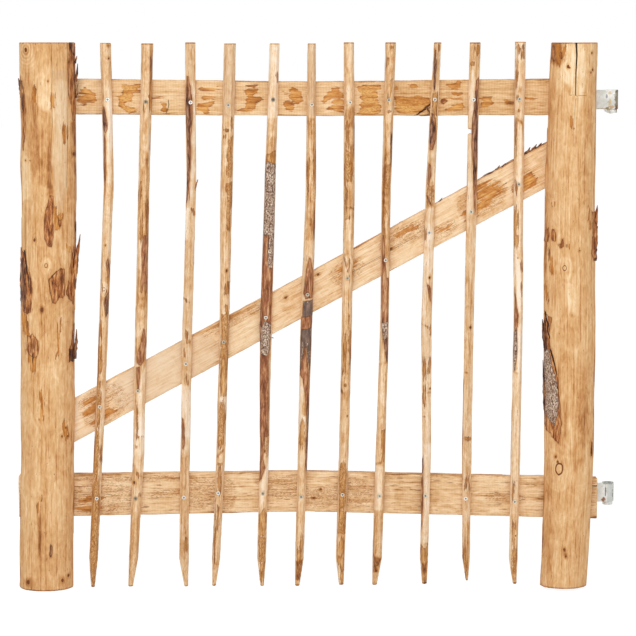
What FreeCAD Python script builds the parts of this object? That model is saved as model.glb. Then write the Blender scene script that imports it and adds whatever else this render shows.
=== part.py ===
"""Riven-wood garden gate: half-round posts, rails, brace, eleven pickets and strap hinges.

The leaf is drawn upright with X along the rails, Y = 0 on the rails' front face (the pickets
and posts stand in front of it, towards -Y) and Z = 0 at the foot of the left post.  Every
sub-part is placed from there so that the row's origin lies where the lower hook's shank enters
the gate post.  Sizes are in millimetres and live in the "Dimensions" sheet.
"""
import FreeCAD, Part
import math
import os

import Sketcher

Vector = FreeCAD.Vector

# ---------------------------------------------------------------------------------------------
# Driving dimensions
# ---------------------------------------------------------------------------------------------

SHARED = {
    # heights at which the posts and pickets change course, between their tops and feet
    "station_high": 740,
    "station_middle": 490,
    "station_low": 250,
    "picket_shoulder": 55,
    "picket_tip_depth": 6,
    "picket_side_share": 0.4,
    "rail_thickness": 22,
    # countersunk screws from the front, through the pickets
    "picket_screw_head": 8,
    "picket_screw_shank": 4,
    "picket_screw_length": 30,
    "picket_screw_sink": 0.8,
    # countersunk screws from behind, through the boards into the posts
    "post_screw_head": 10,
    "post_screw_shank": 5,
    "post_screw_length": 50,
    "post_screw_sink": 0.4,
    # round-headed screws through the straps
    "strap_screw_head": 9,
    "strap_screw_crown": 2.6,
    "strap_screw_shank": 4.5,
    "strap_screw_length": 18,
    # coach screws: hexagon head, washer and shank, through strap and rail into the post
    "coach_head": 13,
    "coach_head_height": 5.5,
    "coach_washer": 18,
    "coach_washer_thickness": 1.5,
    "coach_shank": 8,
    "coach_length": 55,
    # strap hinges
    "strap_width": 35,
    "strap_thickness": 4,
    "strap_length": 300,
    "strap_tail_radius": 11,
    "eye_bore_radius": 6.75,
    "eye_roll_angle": 300,
    "coach_hole": 8.5,
    "coach_hole_first": 52,
    "coach_hole_pitch": 40,
    "strap_hole": 5.2,
    "strap_hole_first": 150,
    "strap_hole_pitch": 62,
    # hinge axis, eyes and hooks
    "axis_x": 536,
    "upper_eye": 896,
    "lower_eye": 172.5,
    "hook_pin": 13,
    "hook_pin_length": 32,
    "hook_gap": 0.3,
    "hook_ear_thickness": 6,
    "hook_ear_radius": 9,
    "hook_ear_length": 24,
    "hook_shank": 12,
    "hook_shank_length": 70,
    "hook_point": 2,
    "hook_point_length": 12,
}

STATIONS = ("top", "high", "middle", "low", "foot")

# Each post: top and foot heights, centre line and width at every station, and the height of
# its straight sides and of its round front.
POSTS = {
    "left_post": {
        "top_z": 1000, "foot_z": 0, "side": 7, "crown": 40,
        "x": (-489.5, -488.5, -493, -496, -501), "width": (102, 101, 99, 97, 100),
    },
    "right_post": {
        "top_z": 1000, "foot_z": 4, "side": 6, "crown": 37,
        "x": (463, 457.5, 459, 461, 453), "width": (85, 92.5, 96, 91, 85),
    },
}

# Each board: its ends, then the height of its centre line and its depth at three places.
PLACES = ("left", "middle", "right")
BOARDS = {
    "top_rail": {"ends": (-530, 500), "z": (903, 898, 902), "depth": (65, 62.5, 67)},
    "bottom_rail": {"ends": (-551, 514), "z": (169, 177.5, 165), "depth": (79, 75, 76)},
    "brace": {"ends": (-532, 498), "z": (263, 543, 823), "depth": (82, 77, 84)},
}

SCREW_ROWS = ("top", "brace", "bottom")
ROUND, SPLIT = "round", "split"


def picket(section, top_z, tip_z, x, width, depth, tip, screws):
    """One picket's own sizes.

    x and width have one value for each station, the last one at the shoulder above the point.
    tip gives the point's own centre and width, and screws the (x, z) of its three screws.
    """
    return {"section": section, "top_z": top_z, "tip_z": tip_z, "x": x, "width": width,
            "depth": depth, "tip_x": tip[0], "tip_width": tip[1], "screws": screws}


PICKETS = (
    picket(ROUND, 999, 0, (-383.5, -380, -391, -403, -413.5), (20, 18, 17, 17, 16.5), 15,
           (-415, 7), ((-380, 897), (-399, 337), (-406, 167))),
    picket(ROUND, 998, 1, (-308.5, -316, -323, -329, -340), (22, 20.5, 22, 21, 17), 16,
           (-346, 9), ((-311, 893), (-329, 366), (-335, 167))),
    picket(SPLIT, 1000, 1, (-231, -230, -238.5, -243.5, -247), (19, 17.5, 18, 17, 18), 16,
           (-243, 7), ((-230, 892), (-241, 416), (-246, 169))),
    picket(ROUND, 998, 2, (-159, -166, -171, -178, -188), (22, 22.5, 17.5, 17, 15.5), 15,
           (-192, 7), ((-162, 887), (-172, 456), (-183, 177))),
    picket(ROUND, 998, 2, (-78.5, -87, -95, -98.5, -104), (18, 20, 22, 17, 16.5), 15,
           (-103, 7), ((-81, 897), (-95, 501), (-101, 176))),
    picket(ROUND, 998, 2, (-11, -13, -21, -28, -34), (15.5, 19, 22, 18, 16.5), 15,
           (-38, 9), ((-11, 888), (-19, 543), (-31, 170))),
    picket(ROUND, 1000, 4, (56, 57, 52.5, 47.5, 41), (19, 20.5, 19, 18, 17), 15,
           (43, 9), ((58, 892), (54, 573), (45, 174))),
    picket(ROUND, 1000, 4, (131, 124.5, 121, 115, 109), (19.5, 17, 16, 18, 18), 16,
           (104, 9), ((128, 896), (123, 606), (113, 172))),
    picket(SPLIT, 1000, 6, (216, 204, 198.5, 199.5, 195), (13.5, 17, 19.5, 16, 15), 15,
           (196, 9), ((211, 897), (202, 656), (197, 172))),
    picket(SPLIT, 1000, 12, (284, 279.5, 276, 273, 273), (20, 19, 17, 18, 14), 16,
           (275, 5), ((281, 897), (278, 694), (271, 167))),
    picket(ROUND, 1001, 6, (365.5, 364, 365, 362.5, 360), (20, 18, 17, 18, 16.5), 15,
           (363, 7), ((364, 898), (364, 744), (361, 161))),
)

# Screws from behind, through the boards into the posts: the (x, z) of each.  The two at the
# end hold the brace to the right post; the straps' coach screws hold the rails to it.
POST_SCREWS = ((-512, 916), (-468, 889), (-508, 268), (-470, 306), (-520, 185), (-474, 154),
               (440, 783), (480, 822))

EYES = {"upper": "upper_eye", "lower": "lower_eye"}
COACH_SCREWS = 2
STRAP_SCREWS = 3


def picket_name(index):
    return "picket_%02d" % (index + 1)


class Sheet:
    """The spreadsheet of driving dimensions, filled one named cell at a time."""

    def __init__(self, doc):
        self.sheet = doc.addObject("Spreadsheet::Sheet", "Dimensions")
        self.rows = 0

    def add(self, alias, value):
        self.rows += 1
        self.sheet.set("A%d" % self.rows, alias)
        self.sheet.set("B%d" % self.rows, "%g" % value)
        self.sheet.setAlias("B%d" % self.rows, alias)

    def add_course(self, name, piece):
        """A post's or picket's heights and the course of its centre line."""
        for station, x, width in zip(STATIONS, piece["x"], piece["width"]):
            self.add("%s_x_%s" % (name, station), x)
            self.add("%s_width_%s" % (name, station), width)


def fill_sheet(doc):
    """Write every driving dimension into the sheet."""
    sheet = Sheet(doc)
    for alias, value in SHARED.items():
        sheet.add(alias, value)
    for name, post in POSTS.items():
        for key in ("top_z", "foot_z", "side", "crown"):
            sheet.add("%s_%s" % (name, key), post[key])
        sheet.add_course(name, post)
    for name, board in BOARDS.items():
        sheet.add(name + "_left_end", board["ends"][0])
        sheet.add(name + "_right_end", board["ends"][1])
        for place, z, depth in zip(PLACES, board["z"], board["depth"]):
            sheet.add("%s_z_%s" % (name, place), z)
            sheet.add("%s_depth_%s" % (name, place), depth)
    for index, piece in enumerate(PICKETS):
        name = picket_name(index)
        for key in ("top_z", "tip_z", "depth", "tip_x", "tip_width"):
            sheet.add("%s_%s" % (name, key), piece[key])
        sheet.add_course(name, piece)
        for row, (x, z) in zip(SCREW_ROWS, piece["screws"]):
            sheet.add("%s_%s_screw_x" % (name, row), x)
            sheet.add("%s_%s_screw_z" % (name, row), z)
    for number, (x, z) in enumerate(POST_SCREWS, start=1):
        sheet.add("post_screw_%d_x" % number, x)
        sheet.add("post_screw_%d_z" % number, z)
    doc.recompute()


# ---------------------------------------------------------------------------------------------
# Expressions
# ---------------------------------------------------------------------------------------------

def cell(alias):
    return "Dimensions." + alias


# The hinge axis and the row's origin, as places in the drawing.
AXIS_Y = "(%s + %s + %s)" % (
    cell("rail_thickness"), cell("strap_thickness"), cell("eye_bore_radius"))
ORIGIN_X = cell("axis_x")
ORIGIN_Y = "(%s + %s)" % (AXIS_Y, cell("hook_ear_length"))
EAR_MIDDLE = "(%s / 2 + %s + %s / 2)" % (
    cell("strap_width"), cell("hook_gap"), cell("hook_ear_thickness"))
ORIGIN_Z = "(%s - %s)" % (cell("lower_eye"), EAR_MIDDLE)

FRONT = FreeCAD.Rotation(Vector(1, 0, 0), 90)
BACK = FreeCAD.Rotation(Vector(1, 0, 0), -90)


def place(part, x="0", y="0", z="0"):
    """Put a part at a place of the drawing, measured from the row's origin."""
    part.setExpression("Placement.Base.x", "%s - %s" % (x, ORIGIN_X))
    part.setExpression("Placement.Base.y", "%s - %s" % (y, ORIGIN_Y))
    part.setExpression("Placement.Base.z", "%s - %s" % (z, ORIGIN_Z))


# ---------------------------------------------------------------------------------------------
# Bodies, sketches and outlines
# ---------------------------------------------------------------------------------------------

def new_body(doc, label):
    body = doc.addObject("PartDesign::Body", label)
    body.Label = label
    return body


def new_sketch(body, name, role, **offsets):
    """A sketch on one of the body's own planes, moved along its own x, y and z."""
    plane = [item for item in body.Origin.OriginFeatures if item.Role == role][0]
    sketch = body.newObject("Sketcher::SketchObject", name)
    sketch.AttachmentSupport = (plane, [""])
    sketch.MapMode = "FlatFace"
    for axis, expression in offsets.items():
        sketch.setExpression("AttachmentOffset.Base." + axis, expression)
    return sketch


def constrain(sketch, *constraints):
    for arguments in constraints:
        sketch.addConstraint(Sketcher.Constraint(*arguments))


def drive(sketch, name, expression, *arguments):
    """Add a dimension to a sketch, name it and bind it to the sheet."""
    index = sketch.addConstraint(Sketcher.Constraint(*arguments))
    sketch.renameConstraint(index, name)
    sketch.setExpression("Constraints." + name, expression)


def close_lines(sketch, points):
    """Add a closed outline of straight lines through the points."""
    count = len(points)
    for index, point in enumerate(points):
        following = points[(index + 1) % count]
        sketch.addGeometry(Part.LineSegment(Vector(*point), Vector(*following)))
    for index in range(count):
        constrain(sketch, ("Coincident", index, 2, (index + 1) % count, 1))


def half_round_section(body, name, height, x, width, side, crown):
    """A post's section: flat back, two short sides and a round front."""
    sketch = new_sketch(body, name, "XY_Plane", x=x, z=height)
    half, low, front = 50, -7, -47
    sketch.addGeometry(Part.LineSegment(Vector(-half, 0, 0), Vector(half, 0, 0)))
    sketch.addGeometry(Part.LineSegment(Vector(half, 0, 0), Vector(half, low, 0)))
    sketch.addGeometry(Part.Arc(Vector(-half, low, 0), Vector(0, front, 0),
                                Vector(half, low, 0)))
    sketch.addGeometry(Part.LineSegment(Vector(-half, low, 0), Vector(-half, 0, 0)))
    constrain(sketch,
              ("Coincident", 0, 2, 1, 1), ("Coincident", 1, 2, 2, 2),
              ("Coincident", 2, 1, 3, 1), ("Coincident", 3, 2, 0, 1),
              ("Symmetric", 0, 1, 0, 2, -1, 1), ("Horizontal", 0),
              ("Vertical", 1), ("Vertical", 3), ("PointOnObject", 2, 3, -2))
    drive(sketch, "width", width, "DistanceX", 0, 1, 0, 2, 2 * half)
    drive(sketch, "side", side, "DistanceY", 1, 2, 1, 1, -low)
    drive(sketch, "centre", "%s ^ 2 / (8 * %s) - %s / 2" % (width, crown, crown),
          "DistanceY", 1, 2, 2, 3, 10)
    return sketch


def picket_section(body, name, height, x, width, depth, section):
    """A picket's section: flat back and a front of three faces, or two where it was split."""
    sketch = new_sketch(body, name, "XY_Plane", x=x, z=height)
    half, low, front = 9, -6, -15
    if section == SPLIT:
        ridge = ((0, front, 0),)
    else:
        ridge = ((half / 2, front, 0), (-half / 2, front, 0))
    close_lines(sketch, ((-half, 0, 0), (half, 0, 0), (half, low, 0)) + ridge
                + ((-half, low, 0),))
    last = len(ridge) + 3
    constrain(sketch,
              ("Symmetric", 0, 1, 0, 2, -1, 1), ("Horizontal", 0),
              ("Vertical", 1), ("Vertical", last), ("Equal", 1, last))
    if section == SPLIT:
        constrain(sketch, ("PointOnObject", 2, 2, -2))
    else:
        constrain(sketch, ("Symmetric", 3, 1, 3, 2, -2))
        drive(sketch, "flat", "%s / 2" % width, "DistanceX", 3, 2, 3, 1, half)
    drive(sketch, "width", width, "DistanceX", 0, 1, 0, 2, 2 * half)
    drive(sketch, "side", "%s * %s" % (depth, cell("picket_side_share")),
          "DistanceY", 1, 2, 1, 1, -low)
    drive(sketch, "depth", depth, "DistanceY", 2, 2, 0, 2, -front)
    return sketch


def board_section(body, name, x, z, depth):
    """A sawn board's upright section."""
    sketch = new_sketch(body, name, "YZ_Plane", y=z, z=x)
    thick, half = 22, 35
    close_lines(sketch, ((0, -half, 0), (thick, -half, 0), (thick, half, 0), (0, half, 0)))
    constrain(sketch,
              ("Horizontal", 0), ("Vertical", 1), ("Horizontal", 2),
              ("Symmetric", 0, 1, 2, 2, -1, 1))
    drive(sketch, "thickness", cell("rail_thickness"), "DistanceX", 0, 1, 0, 2, thick)
    drive(sketch, "depth", depth, "DistanceY", 1, 1, 1, 2, 2 * half)
    return sketch


def polygon_section(body, name, sides, radius, role="XY_Plane", **offsets):
    """A regular polygon, as wide over its corners as the round bar that it stands for."""
    sketch = new_sketch(body, name, role, **offsets)
    size = 5
    turn = 2 * math.pi / sides
    points = [(size * math.cos(turn * (step + 0.5)), size * math.sin(turn * (step + 0.5)), 0)
              for step in range(sides)]
    close_lines(sketch, points)
    rim = sketch.addGeometry(Part.Circle(Vector(0, 0, 0), Vector(0, 0, 1), size), True)
    constrain(sketch, ("Coincident", rim, 3, -1, 1), ("Vertical", sides - 1))
    for step in range(sides):
        constrain(sketch, ("PointOnObject", step, 1, rim))
    for step in range(1, sides):
        constrain(sketch, ("Equal", 0, step))
    drive(sketch, "radius", radius, "Radius", rim, size)
    return sketch


def loft(body, name, sections):
    """A straight-lined loft through the sections, the first one as its profile."""
    feature = body.newObject("PartDesign::AdditiveLoft", name)
    feature.Profile = sections[0]
    feature.Sections = sections[1:]
    feature.Ruled = True
    return feature


def pad(body, name, sketch, length, backwards=False):
    feature = body.newObject("PartDesign::Pad", name)
    feature.Profile = sketch
    feature.setExpression("Length", length)
    feature.Reversed = backwards
    return feature


def edges(feature, chosen):
    """Names of the feature's edges for which chosen(edge) is true."""
    return ["Edge%d" % (index + 1) for index, edge in enumerate(feature.Shape.Edges)
            if chosen(edge)]


# ---------------------------------------------------------------------------------------------
# Wood
# ---------------------------------------------------------------------------------------------

def station_height(name, station):
    """The height of a station: shared by all pieces, apart from each one's own ends."""
    own = {"top": cell(name + "_top_z"), "foot": cell(name + "_foot_z")}
    return own.get(station) or cell("station_" + station)


def build_post(doc, name):
    """A half-round post with a sawn top and foot, as crooked as it grew."""
    body = new_body(doc, name)
    sections = [
        half_round_section(body, "%s_%s" % (name, station), station_height(name, station),
                           cell("%s_x_%s" % (name, station)),
                           cell("%s_width_%s" % (name, station)),
                           cell(name + "_side"), cell(name + "_crown"))
        for station in STATIONS]
    loft(body, name + "_trunk", sections)
    place(body)
    return body


def build_picket(doc, name, section):
    """A split stick with a sawn top and a hewn point."""
    body = new_body(doc, name)
    sections = []
    for station in STATIONS:
        height = station_height(name, station)
        if station == "foot":
            height = cell("picket_shoulder")
        sections.append(picket_section(
            body, "%s_%s" % (name, station), height, cell("%s_x_%s" % (name, station)),
            cell("%s_width_%s" % (name, station)), cell(name + "_depth"), section))
    sections.append(picket_section(
        body, name + "_tip", cell(name + "_tip_z"), cell(name + "_tip_x"),
        cell(name + "_tip_width"), cell("picket_tip_depth"), section))
    loft(body, name + "_stick", sections)
    place(body)
    return body


def build_board(doc, name):
    """A sawn board that bends a little along its length."""
    body = new_body(doc, name)
    left, right = cell(name + "_left_end"), cell(name + "_right_end")
    runs = (left, "(%s + %s) / 2" % (left, right), right)
    sections = [
        board_section(body, "%s_%s" % (name, spot), x,
                      cell("%s_z_%s" % (name, spot)), cell("%s_depth_%s" % (name, spot)))
        for spot, x in zip(PLACES, runs)]
    loft(body, name + "_board", sections)
    place(body)
    return body


# ---------------------------------------------------------------------------------------------
# Fasteners: one of each kind is modelled upright, head up, and linked wherever it is used
# ---------------------------------------------------------------------------------------------

SCREW_SIDES = 6


def half_of(alias):
    return cell(alias) + " / 2"


def bar(body, name, levels, sides=SCREW_SIDES):
    """A loft of regular polygons; levels are (height, radius) pairs from the top down."""
    sections = [polygon_section(body, "%s_%d" % (name, number), sides, radius, z=height)
                for number, (height, radius) in enumerate(levels, start=1)]
    return loft(body, name, sections)


def shank_levels(prefix, top):
    """A screw's shank from the given level to its tip."""
    length, radius = cell(prefix + "_length"), half_of(prefix + "_shank")
    return [(top, radius),
            ("-%s + %s" % (length, cell(prefix + "_shank")), radius),
            ("-" + length, radius + " / 4")]


def countersunk_screw(doc, prefix):
    """A countersunk wood screw; its head's flat top is at Z = 0."""
    body = new_body(doc, prefix + "_pattern")
    depth = "-(%s - %s) / 2" % (cell(prefix + "_head"), cell(prefix + "_shank"))
    bar(body, prefix + "_turned",
        [("0", half_of(prefix + "_head"))] + shank_levels(prefix, depth))
    return body


def round_head_screw(doc, prefix):
    """A round-headed wood screw; the underside of its head is at Z = 0."""
    body = new_body(doc, prefix + "_pattern")
    crown, head = cell(prefix + "_crown"), half_of(prefix + "_head")
    bar(body, prefix + "_dome",
        [(crown, head + " / 2"), (crown + " * 0.7", head + " * 0.85"), ("0", head)])
    bar(body, prefix + "_turned", shank_levels(prefix, "0"))
    return body


def coach_screw(doc):
    """A hexagon-headed coach screw on its washer, whose underside is at Z = 0."""
    body = new_body(doc, "coach_pattern")
    washer = cell("coach_washer_thickness")
    pad(body, "coach_disc",
        polygon_section(body, "coach_disc_outline", 12, half_of("coach_washer")), washer)
    across_corners = half_of("coach_head") + " / cos(30)"
    pad(body, "coach_hexagon",
        polygon_section(body, "coach_hexagon_outline", 6, across_corners, z=washer),
        cell("coach_head_height"))
    bar(body, "coach_turned", shank_levels("coach", "0"))
    return body


def group(doc, label, pattern, facing, places):
    """Linked copies of one fastener, as a group of separate solids in one sub-part."""
    links = []
    for number, (x, y, z) in enumerate(places, start=1):
        link = doc.addObject("App::Link", "%s_%d" % (label, number))
        link.LinkedObject = pattern
        link.Placement = FreeCAD.Placement(Vector(), facing)
        place(link, x, y, z)
        links.append(link)
    compound = doc.addObject("Part::Compound", label)
    compound.Label = label
    compound.Links = links
    return compound


def build_fasteners(doc):
    """Every group of screws, by the pieces that it holds."""
    picket_screw = countersunk_screw(doc, "picket_screw")
    post_screw = countersunk_screw(doc, "post_screw")
    strap_screw = round_head_screw(doc, "strap_screw")
    coach = coach_screw(doc)
    groups = []
    for row in SCREW_ROWS:
        places = []
        for index in range(len(PICKETS)):
            screw = "%s_%s_screw" % (picket_name(index), row)
            front = "-(%s - %s)" % (cell(picket_name(index) + "_depth"),
                                    cell("picket_screw_sink"))
            places.append((cell(screw + "_x"), front, cell(screw + "_z")))
        groups.append(group(doc, "picket_screws_" + row, picket_screw, FRONT, places))
    rear = "(%s - %s)" % (cell("rail_thickness"), cell("post_screw_sink"))
    places = [(cell("post_screw_%d_x" % number), rear, cell("post_screw_%d_z" % number))
              for number in range(1, len(POST_SCREWS) + 1)]
    groups.append(group(doc, "post_screws", post_screw, BACK, places))
    strap_back = "(%s + %s)" % (cell("rail_thickness"), cell("strap_thickness"))
    for kind, pattern, count in (("coach", coach, COACH_SCREWS),
                                 ("strap", strap_screw, STRAP_SCREWS)):
        places = [("(%s - %s)" % (cell("axis_x"), hole_distance(kind, number)),
                   strap_back, cell(eye))
                  for eye in EYES.values() for number in range(count)]
        groups.append(group(doc, kind + "_screws", pattern, BACK, places))
    return groups


# ---------------------------------------------------------------------------------------------
# Hinges: drawn around the hinge axis, with Z = 0 at the middle of the eye
# ---------------------------------------------------------------------------------------------

POINT_SIDES = 8


def hole_distance(kind, number):
    """Distance of a strap's hole from the hinge axis."""
    return "(%s + %d * %s)" % (cell(kind + "_hole_first"), number,
                               cell(kind + "_hole_pitch"))


def strap_outline(body, name):
    """The strap seen from above: a flat bar whose end is rolled back round the pin."""
    bottom = "-%s / 2" % cell("strap_width")
    sketch = new_sketch(body, name, "XY_Plane", z=bottom)
    bore, rim, length = 6.75, 10.75, 300
    start, end = math.radians(-90), math.radians(210)
    upright = Vector(0, 0, 1)
    seam = Vector(math.cos(end), math.sin(end), 0)
    sketch.addGeometry(Part.LineSegment(Vector(-length, -bore, 0), Vector(0, -bore, 0)))
    sketch.addGeometry(Part.ArcOfCircle(Part.Circle(Vector(), upright, bore), start, end))
    sketch.addGeometry(Part.LineSegment(seam * bore, seam * rim))
    sketch.addGeometry(Part.ArcOfCircle(Part.Circle(Vector(), upright, rim), start, end))
    sketch.addGeometry(Part.LineSegment(Vector(0, -rim, 0), Vector(-length, -rim, 0)))
    sketch.addGeometry(Part.LineSegment(Vector(-length, -rim, 0), Vector(-length, -bore, 0)))
    constrain(sketch,
              ("Coincident", 0, 2, 1, 1), ("Coincident", 1, 2, 2, 1),
              ("Coincident", 2, 2, 3, 2), ("Coincident", 3, 1, 4, 1),
              ("Coincident", 4, 2, 5, 1), ("Coincident", 5, 2, 0, 1),
              ("Coincident", 1, 3, -1, 1), ("Coincident", 3, 3, -1, 1),
              ("PointOnObject", 1, 1, -2), ("PointOnObject", 3, 1, -2),
              ("Horizontal", 0), ("Horizontal", 4), ("Vertical", 5),
              ("PointOnObject", -1, 1, 2))
    drive(sketch, "bore", cell("eye_bore_radius"), "Radius", 1, bore)
    drive(sketch, "rim", "%s + %s" % (cell("eye_bore_radius"), cell("strap_thickness")),
          "Radius", 3, rim)
    drive(sketch, "length", cell("strap_length"), "DistanceX", 5, 1, -1, 1, length)
    drive(sketch, "roll", "(%s - 90) * 1 deg" % cell("eye_roll_angle"), "Angle", 2, end)
    return sketch


def build_strap(doc, side):
    """A strap hinge with a rolled eye, a rounded tail, and round and square holes."""
    name = side + "_strap"
    body = new_body(doc, name)
    bar_pad = pad(body, name + "_bar", strap_outline(body, name + "_outline"),
                  cell("strap_width"))
    doc.recompute()
    tail = -SHARED["strap_length"]
    rounded = body.newObject("PartDesign::Fillet", name + "_tail")
    rounded.Base = (bar_pad, edges(bar_pad, lambda edge: on_tail_corner(edge, tail)))
    rounded.setExpression("Radius", cell("strap_tail_radius"))
    round_holes = new_sketch(body, name + "_round_holes", "XZ_Plane")
    for number in range(STRAP_SCREWS):
        guess = SHARED["strap_hole_first"] + number * SHARED["strap_hole_pitch"]
        hole = round_holes.addGeometry(
            Part.Circle(Vector(-guess, 0, 0), Vector(0, 0, 1), SHARED["strap_hole"] / 2))
        constrain(round_holes, ("PointOnObject", hole, 3, -1))
        drive(round_holes, "place%d" % number, hole_distance("strap", number),
              "DistanceX", hole, 3, -1, 1, guess)
        drive(round_holes, "size%d" % number, cell("strap_hole"), "Diameter", hole, 5)
    punch(body, name + "_drilled", round_holes)
    for number in range(COACH_SCREWS):
        corner = "%s / sqrt(2)" % cell("coach_hole")
        square = polygon_section(body, "%s_square_%d" % (name, number + 1), 4, corner,
                                 "XZ_Plane", x="-" + hole_distance("coach", number))
        punch(body, "%s_punched_%d" % (name, number + 1), square)
    place(body, cell("axis_x"), AXIS_Y, cell(EYES[side]))
    return body


def punch(body, name, outline):
    """Cut the outlines through the whole body."""
    cut = body.newObject("PartDesign::Pocket", name)
    cut.Profile = outline
    cut.Type = "ThroughAll"
    cut.Reversed = True
    return cut


def on_tail_corner(edge, tail):
    """True for the two short edges across the strap's thickness at its tail."""
    start, end = edge.Vertexes[0].Point, edge.Vertexes[-1].Point
    at_tail = abs(start.x - tail) < 0.01 and abs(end.x - tail) < 0.01
    return at_tail and abs(start.z - end.z) < 0.01


def round_outline(body, name, role, diameter, **offsets):
    """A sketch of one circle on its plane's origin or, with offsets, beside it."""
    sketch = new_sketch(body, name, role, **offsets)
    sketch.addGeometry(Part.Circle(Vector(), Vector(0, 0, 1), 5))
    constrain(sketch, ("Coincident", 0, 3, -1, 1))
    drive(sketch, "diameter", diameter, "Diameter", 0, 10)
    return sketch


def ear_outline(body, name, height):
    """The hook's ear from above: round under the pin, narrowing back to the shank."""
    sketch = new_sketch(body, name, "XY_Plane", z=height)
    wide, narrow, shoulder, back = 9, 6, 8, 24
    sketch.addGeometry(Part.Arc(Vector(-wide, 0, 0), Vector(0, -wide, 0), Vector(wide, 0, 0)))
    corners = ((wide, 0, 0), (wide, shoulder, 0), (narrow, back, 0), (-narrow, back, 0),
               (-wide, shoulder, 0), (-wide, 0, 0))
    for start, end in zip(corners, corners[1:]):
        sketch.addGeometry(Part.LineSegment(Vector(*start), Vector(*end)))
    constrain(sketch,
              ("Coincident", 0, 2, 1, 1), ("Coincident", 1, 2, 2, 1),
              ("Coincident", 2, 2, 3, 1), ("Coincident", 3, 2, 4, 1),
              ("Coincident", 4, 2, 5, 1), ("Coincident", 5, 2, 0, 1),
              ("Coincident", 0, 3, -1, 1), ("PointOnObject", 0, 1, -1),
              ("PointOnObject", 0, 2, -1), ("Vertical", 1), ("Vertical", 5),
              ("Symmetric", 3, 1, 3, 2, -2), ("Equal", 1, 5))
    radius, length = cell("hook_ear_radius"), cell("hook_ear_length")
    drive(sketch, "radius", radius, "Radius", 0, wide)
    drive(sketch, "shoulder", length + " / 3", "DistanceY", 1, 1, 1, 2, shoulder)
    drive(sketch, "neck", cell("hook_shank"), "DistanceX", 3, 2, 3, 1, 2 * narrow)
    drive(sketch, "length", length, "DistanceY", -1, 1, 3, 1, back)
    return sketch


def build_hook(doc, side):
    """A forged gate hook: an upright pin on a flat ear, with a shank to drive into the post."""
    name = side + "_hook"
    body = new_body(doc, name)
    ear_top = "-(%s / 2 + %s)" % (cell("strap_width"), cell("hook_gap"))
    ear_bottom = "%s - %s" % (ear_top, cell("hook_ear_thickness"))
    pad(body, name + "_ear", ear_outline(body, name + "_ear_outline", ear_bottom),
        cell("hook_ear_thickness"))
    pad(body, name + "_pin",
        round_outline(body, name + "_pin_outline", "XY_Plane", cell("hook_pin"), z=ear_top),
        cell("hook_pin_length"))
    shank_height = "-" + EAR_MIDDLE
    face, length = cell("hook_ear_length"), cell("hook_shank_length")
    root = round_outline(body, name + "_shank_outline", "XZ_Plane", cell("hook_shank"),
                         y=shank_height, z="-" + face)
    pad(body, name + "_shank", root, length, backwards=True)
    end = "-%s - %s" % (face, length)
    loft(body, name + "_point", [
        polygon_section(body, name + "_point_base", POINT_SIDES, half_of("hook_shank"),
                        "XZ_Plane", y=shank_height, z=end),
        polygon_section(body, name + "_point_end", POINT_SIDES, half_of("hook_point"),
                        "XZ_Plane", y=shank_height,
                        z="%s - %s" % (end, cell("hook_point_length")))])
    place(body, cell("axis_x"), AXIS_Y, cell(EYES[side]))
    return body


# ---------------------------------------------------------------------------------------------
# The gate
# ---------------------------------------------------------------------------------------------

def check(doc, parts):
    """Stop if any object failed to compute or any sub-part isn't a good solid."""
    for item in doc.Objects:
        if "Invalid" in item.State or "Error" in item.State:
            raise RuntimeError("%s did not compute: %s" % (item.Name, item.State))
    for part in parts:
        if part.Shape.isNull() or not part.Shape.isValid() or not part.Shape.Solids:
            raise RuntimeError("%s has no valid solid" % part.Label)


def write_parts(parts):
    """Write each sub-part's solids to its own STEP file."""
    os.makedirs("parts", exist_ok=True)
    for part in parts:
        part.Shape.exportStep("parts/%s.step" % part.Label)
        box = part.Shape.optimalBoundingBox(False)
        print("%-22s %2d solids %9.0f mm3  x %7.1f %7.1f  y %6.1f %6.1f  z %6.1f %6.1f" % (
            part.Label, len(part.Shape.Solids), part.Shape.Volume,
            box.XMin, box.XMax, box.YMin, box.YMax, box.ZMin, box.ZMax))


def main():
    doc = FreeCAD.newDocument("GardenGate")
    fill_sheet(doc)
    parts = [build_post(doc, name) for name in POSTS]
    parts += [build_board(doc, name) for name in BOARDS]
    parts += [build_picket(doc, picket_name(index), piece["section"])
              for index, piece in enumerate(PICKETS)]
    parts += build_fasteners(doc)
    parts += [build_strap(doc, side) for side in EYES]
    parts += [build_hook(doc, side) for side in EYES]
    doc.recompute()
    check(doc, parts)
    write_parts(parts)


main()
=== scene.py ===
"""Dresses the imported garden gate: half-round posts, sawn boards, split pickets and hinges.

Every wooden sub-part is a finely meshed copy of its solid, with bark, knots, cracks and
splinters worked into its surface.  Sizes are in millimetres until a mesh is written.
"""

import itertools
import logging
import math
from collections.abc import Iterator
from contextlib import contextmanager
from dataclasses import dataclass, field
from enum import Enum

import bpy
import numpy as np
from mathutils import Euler, Matrix, Vector


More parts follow.
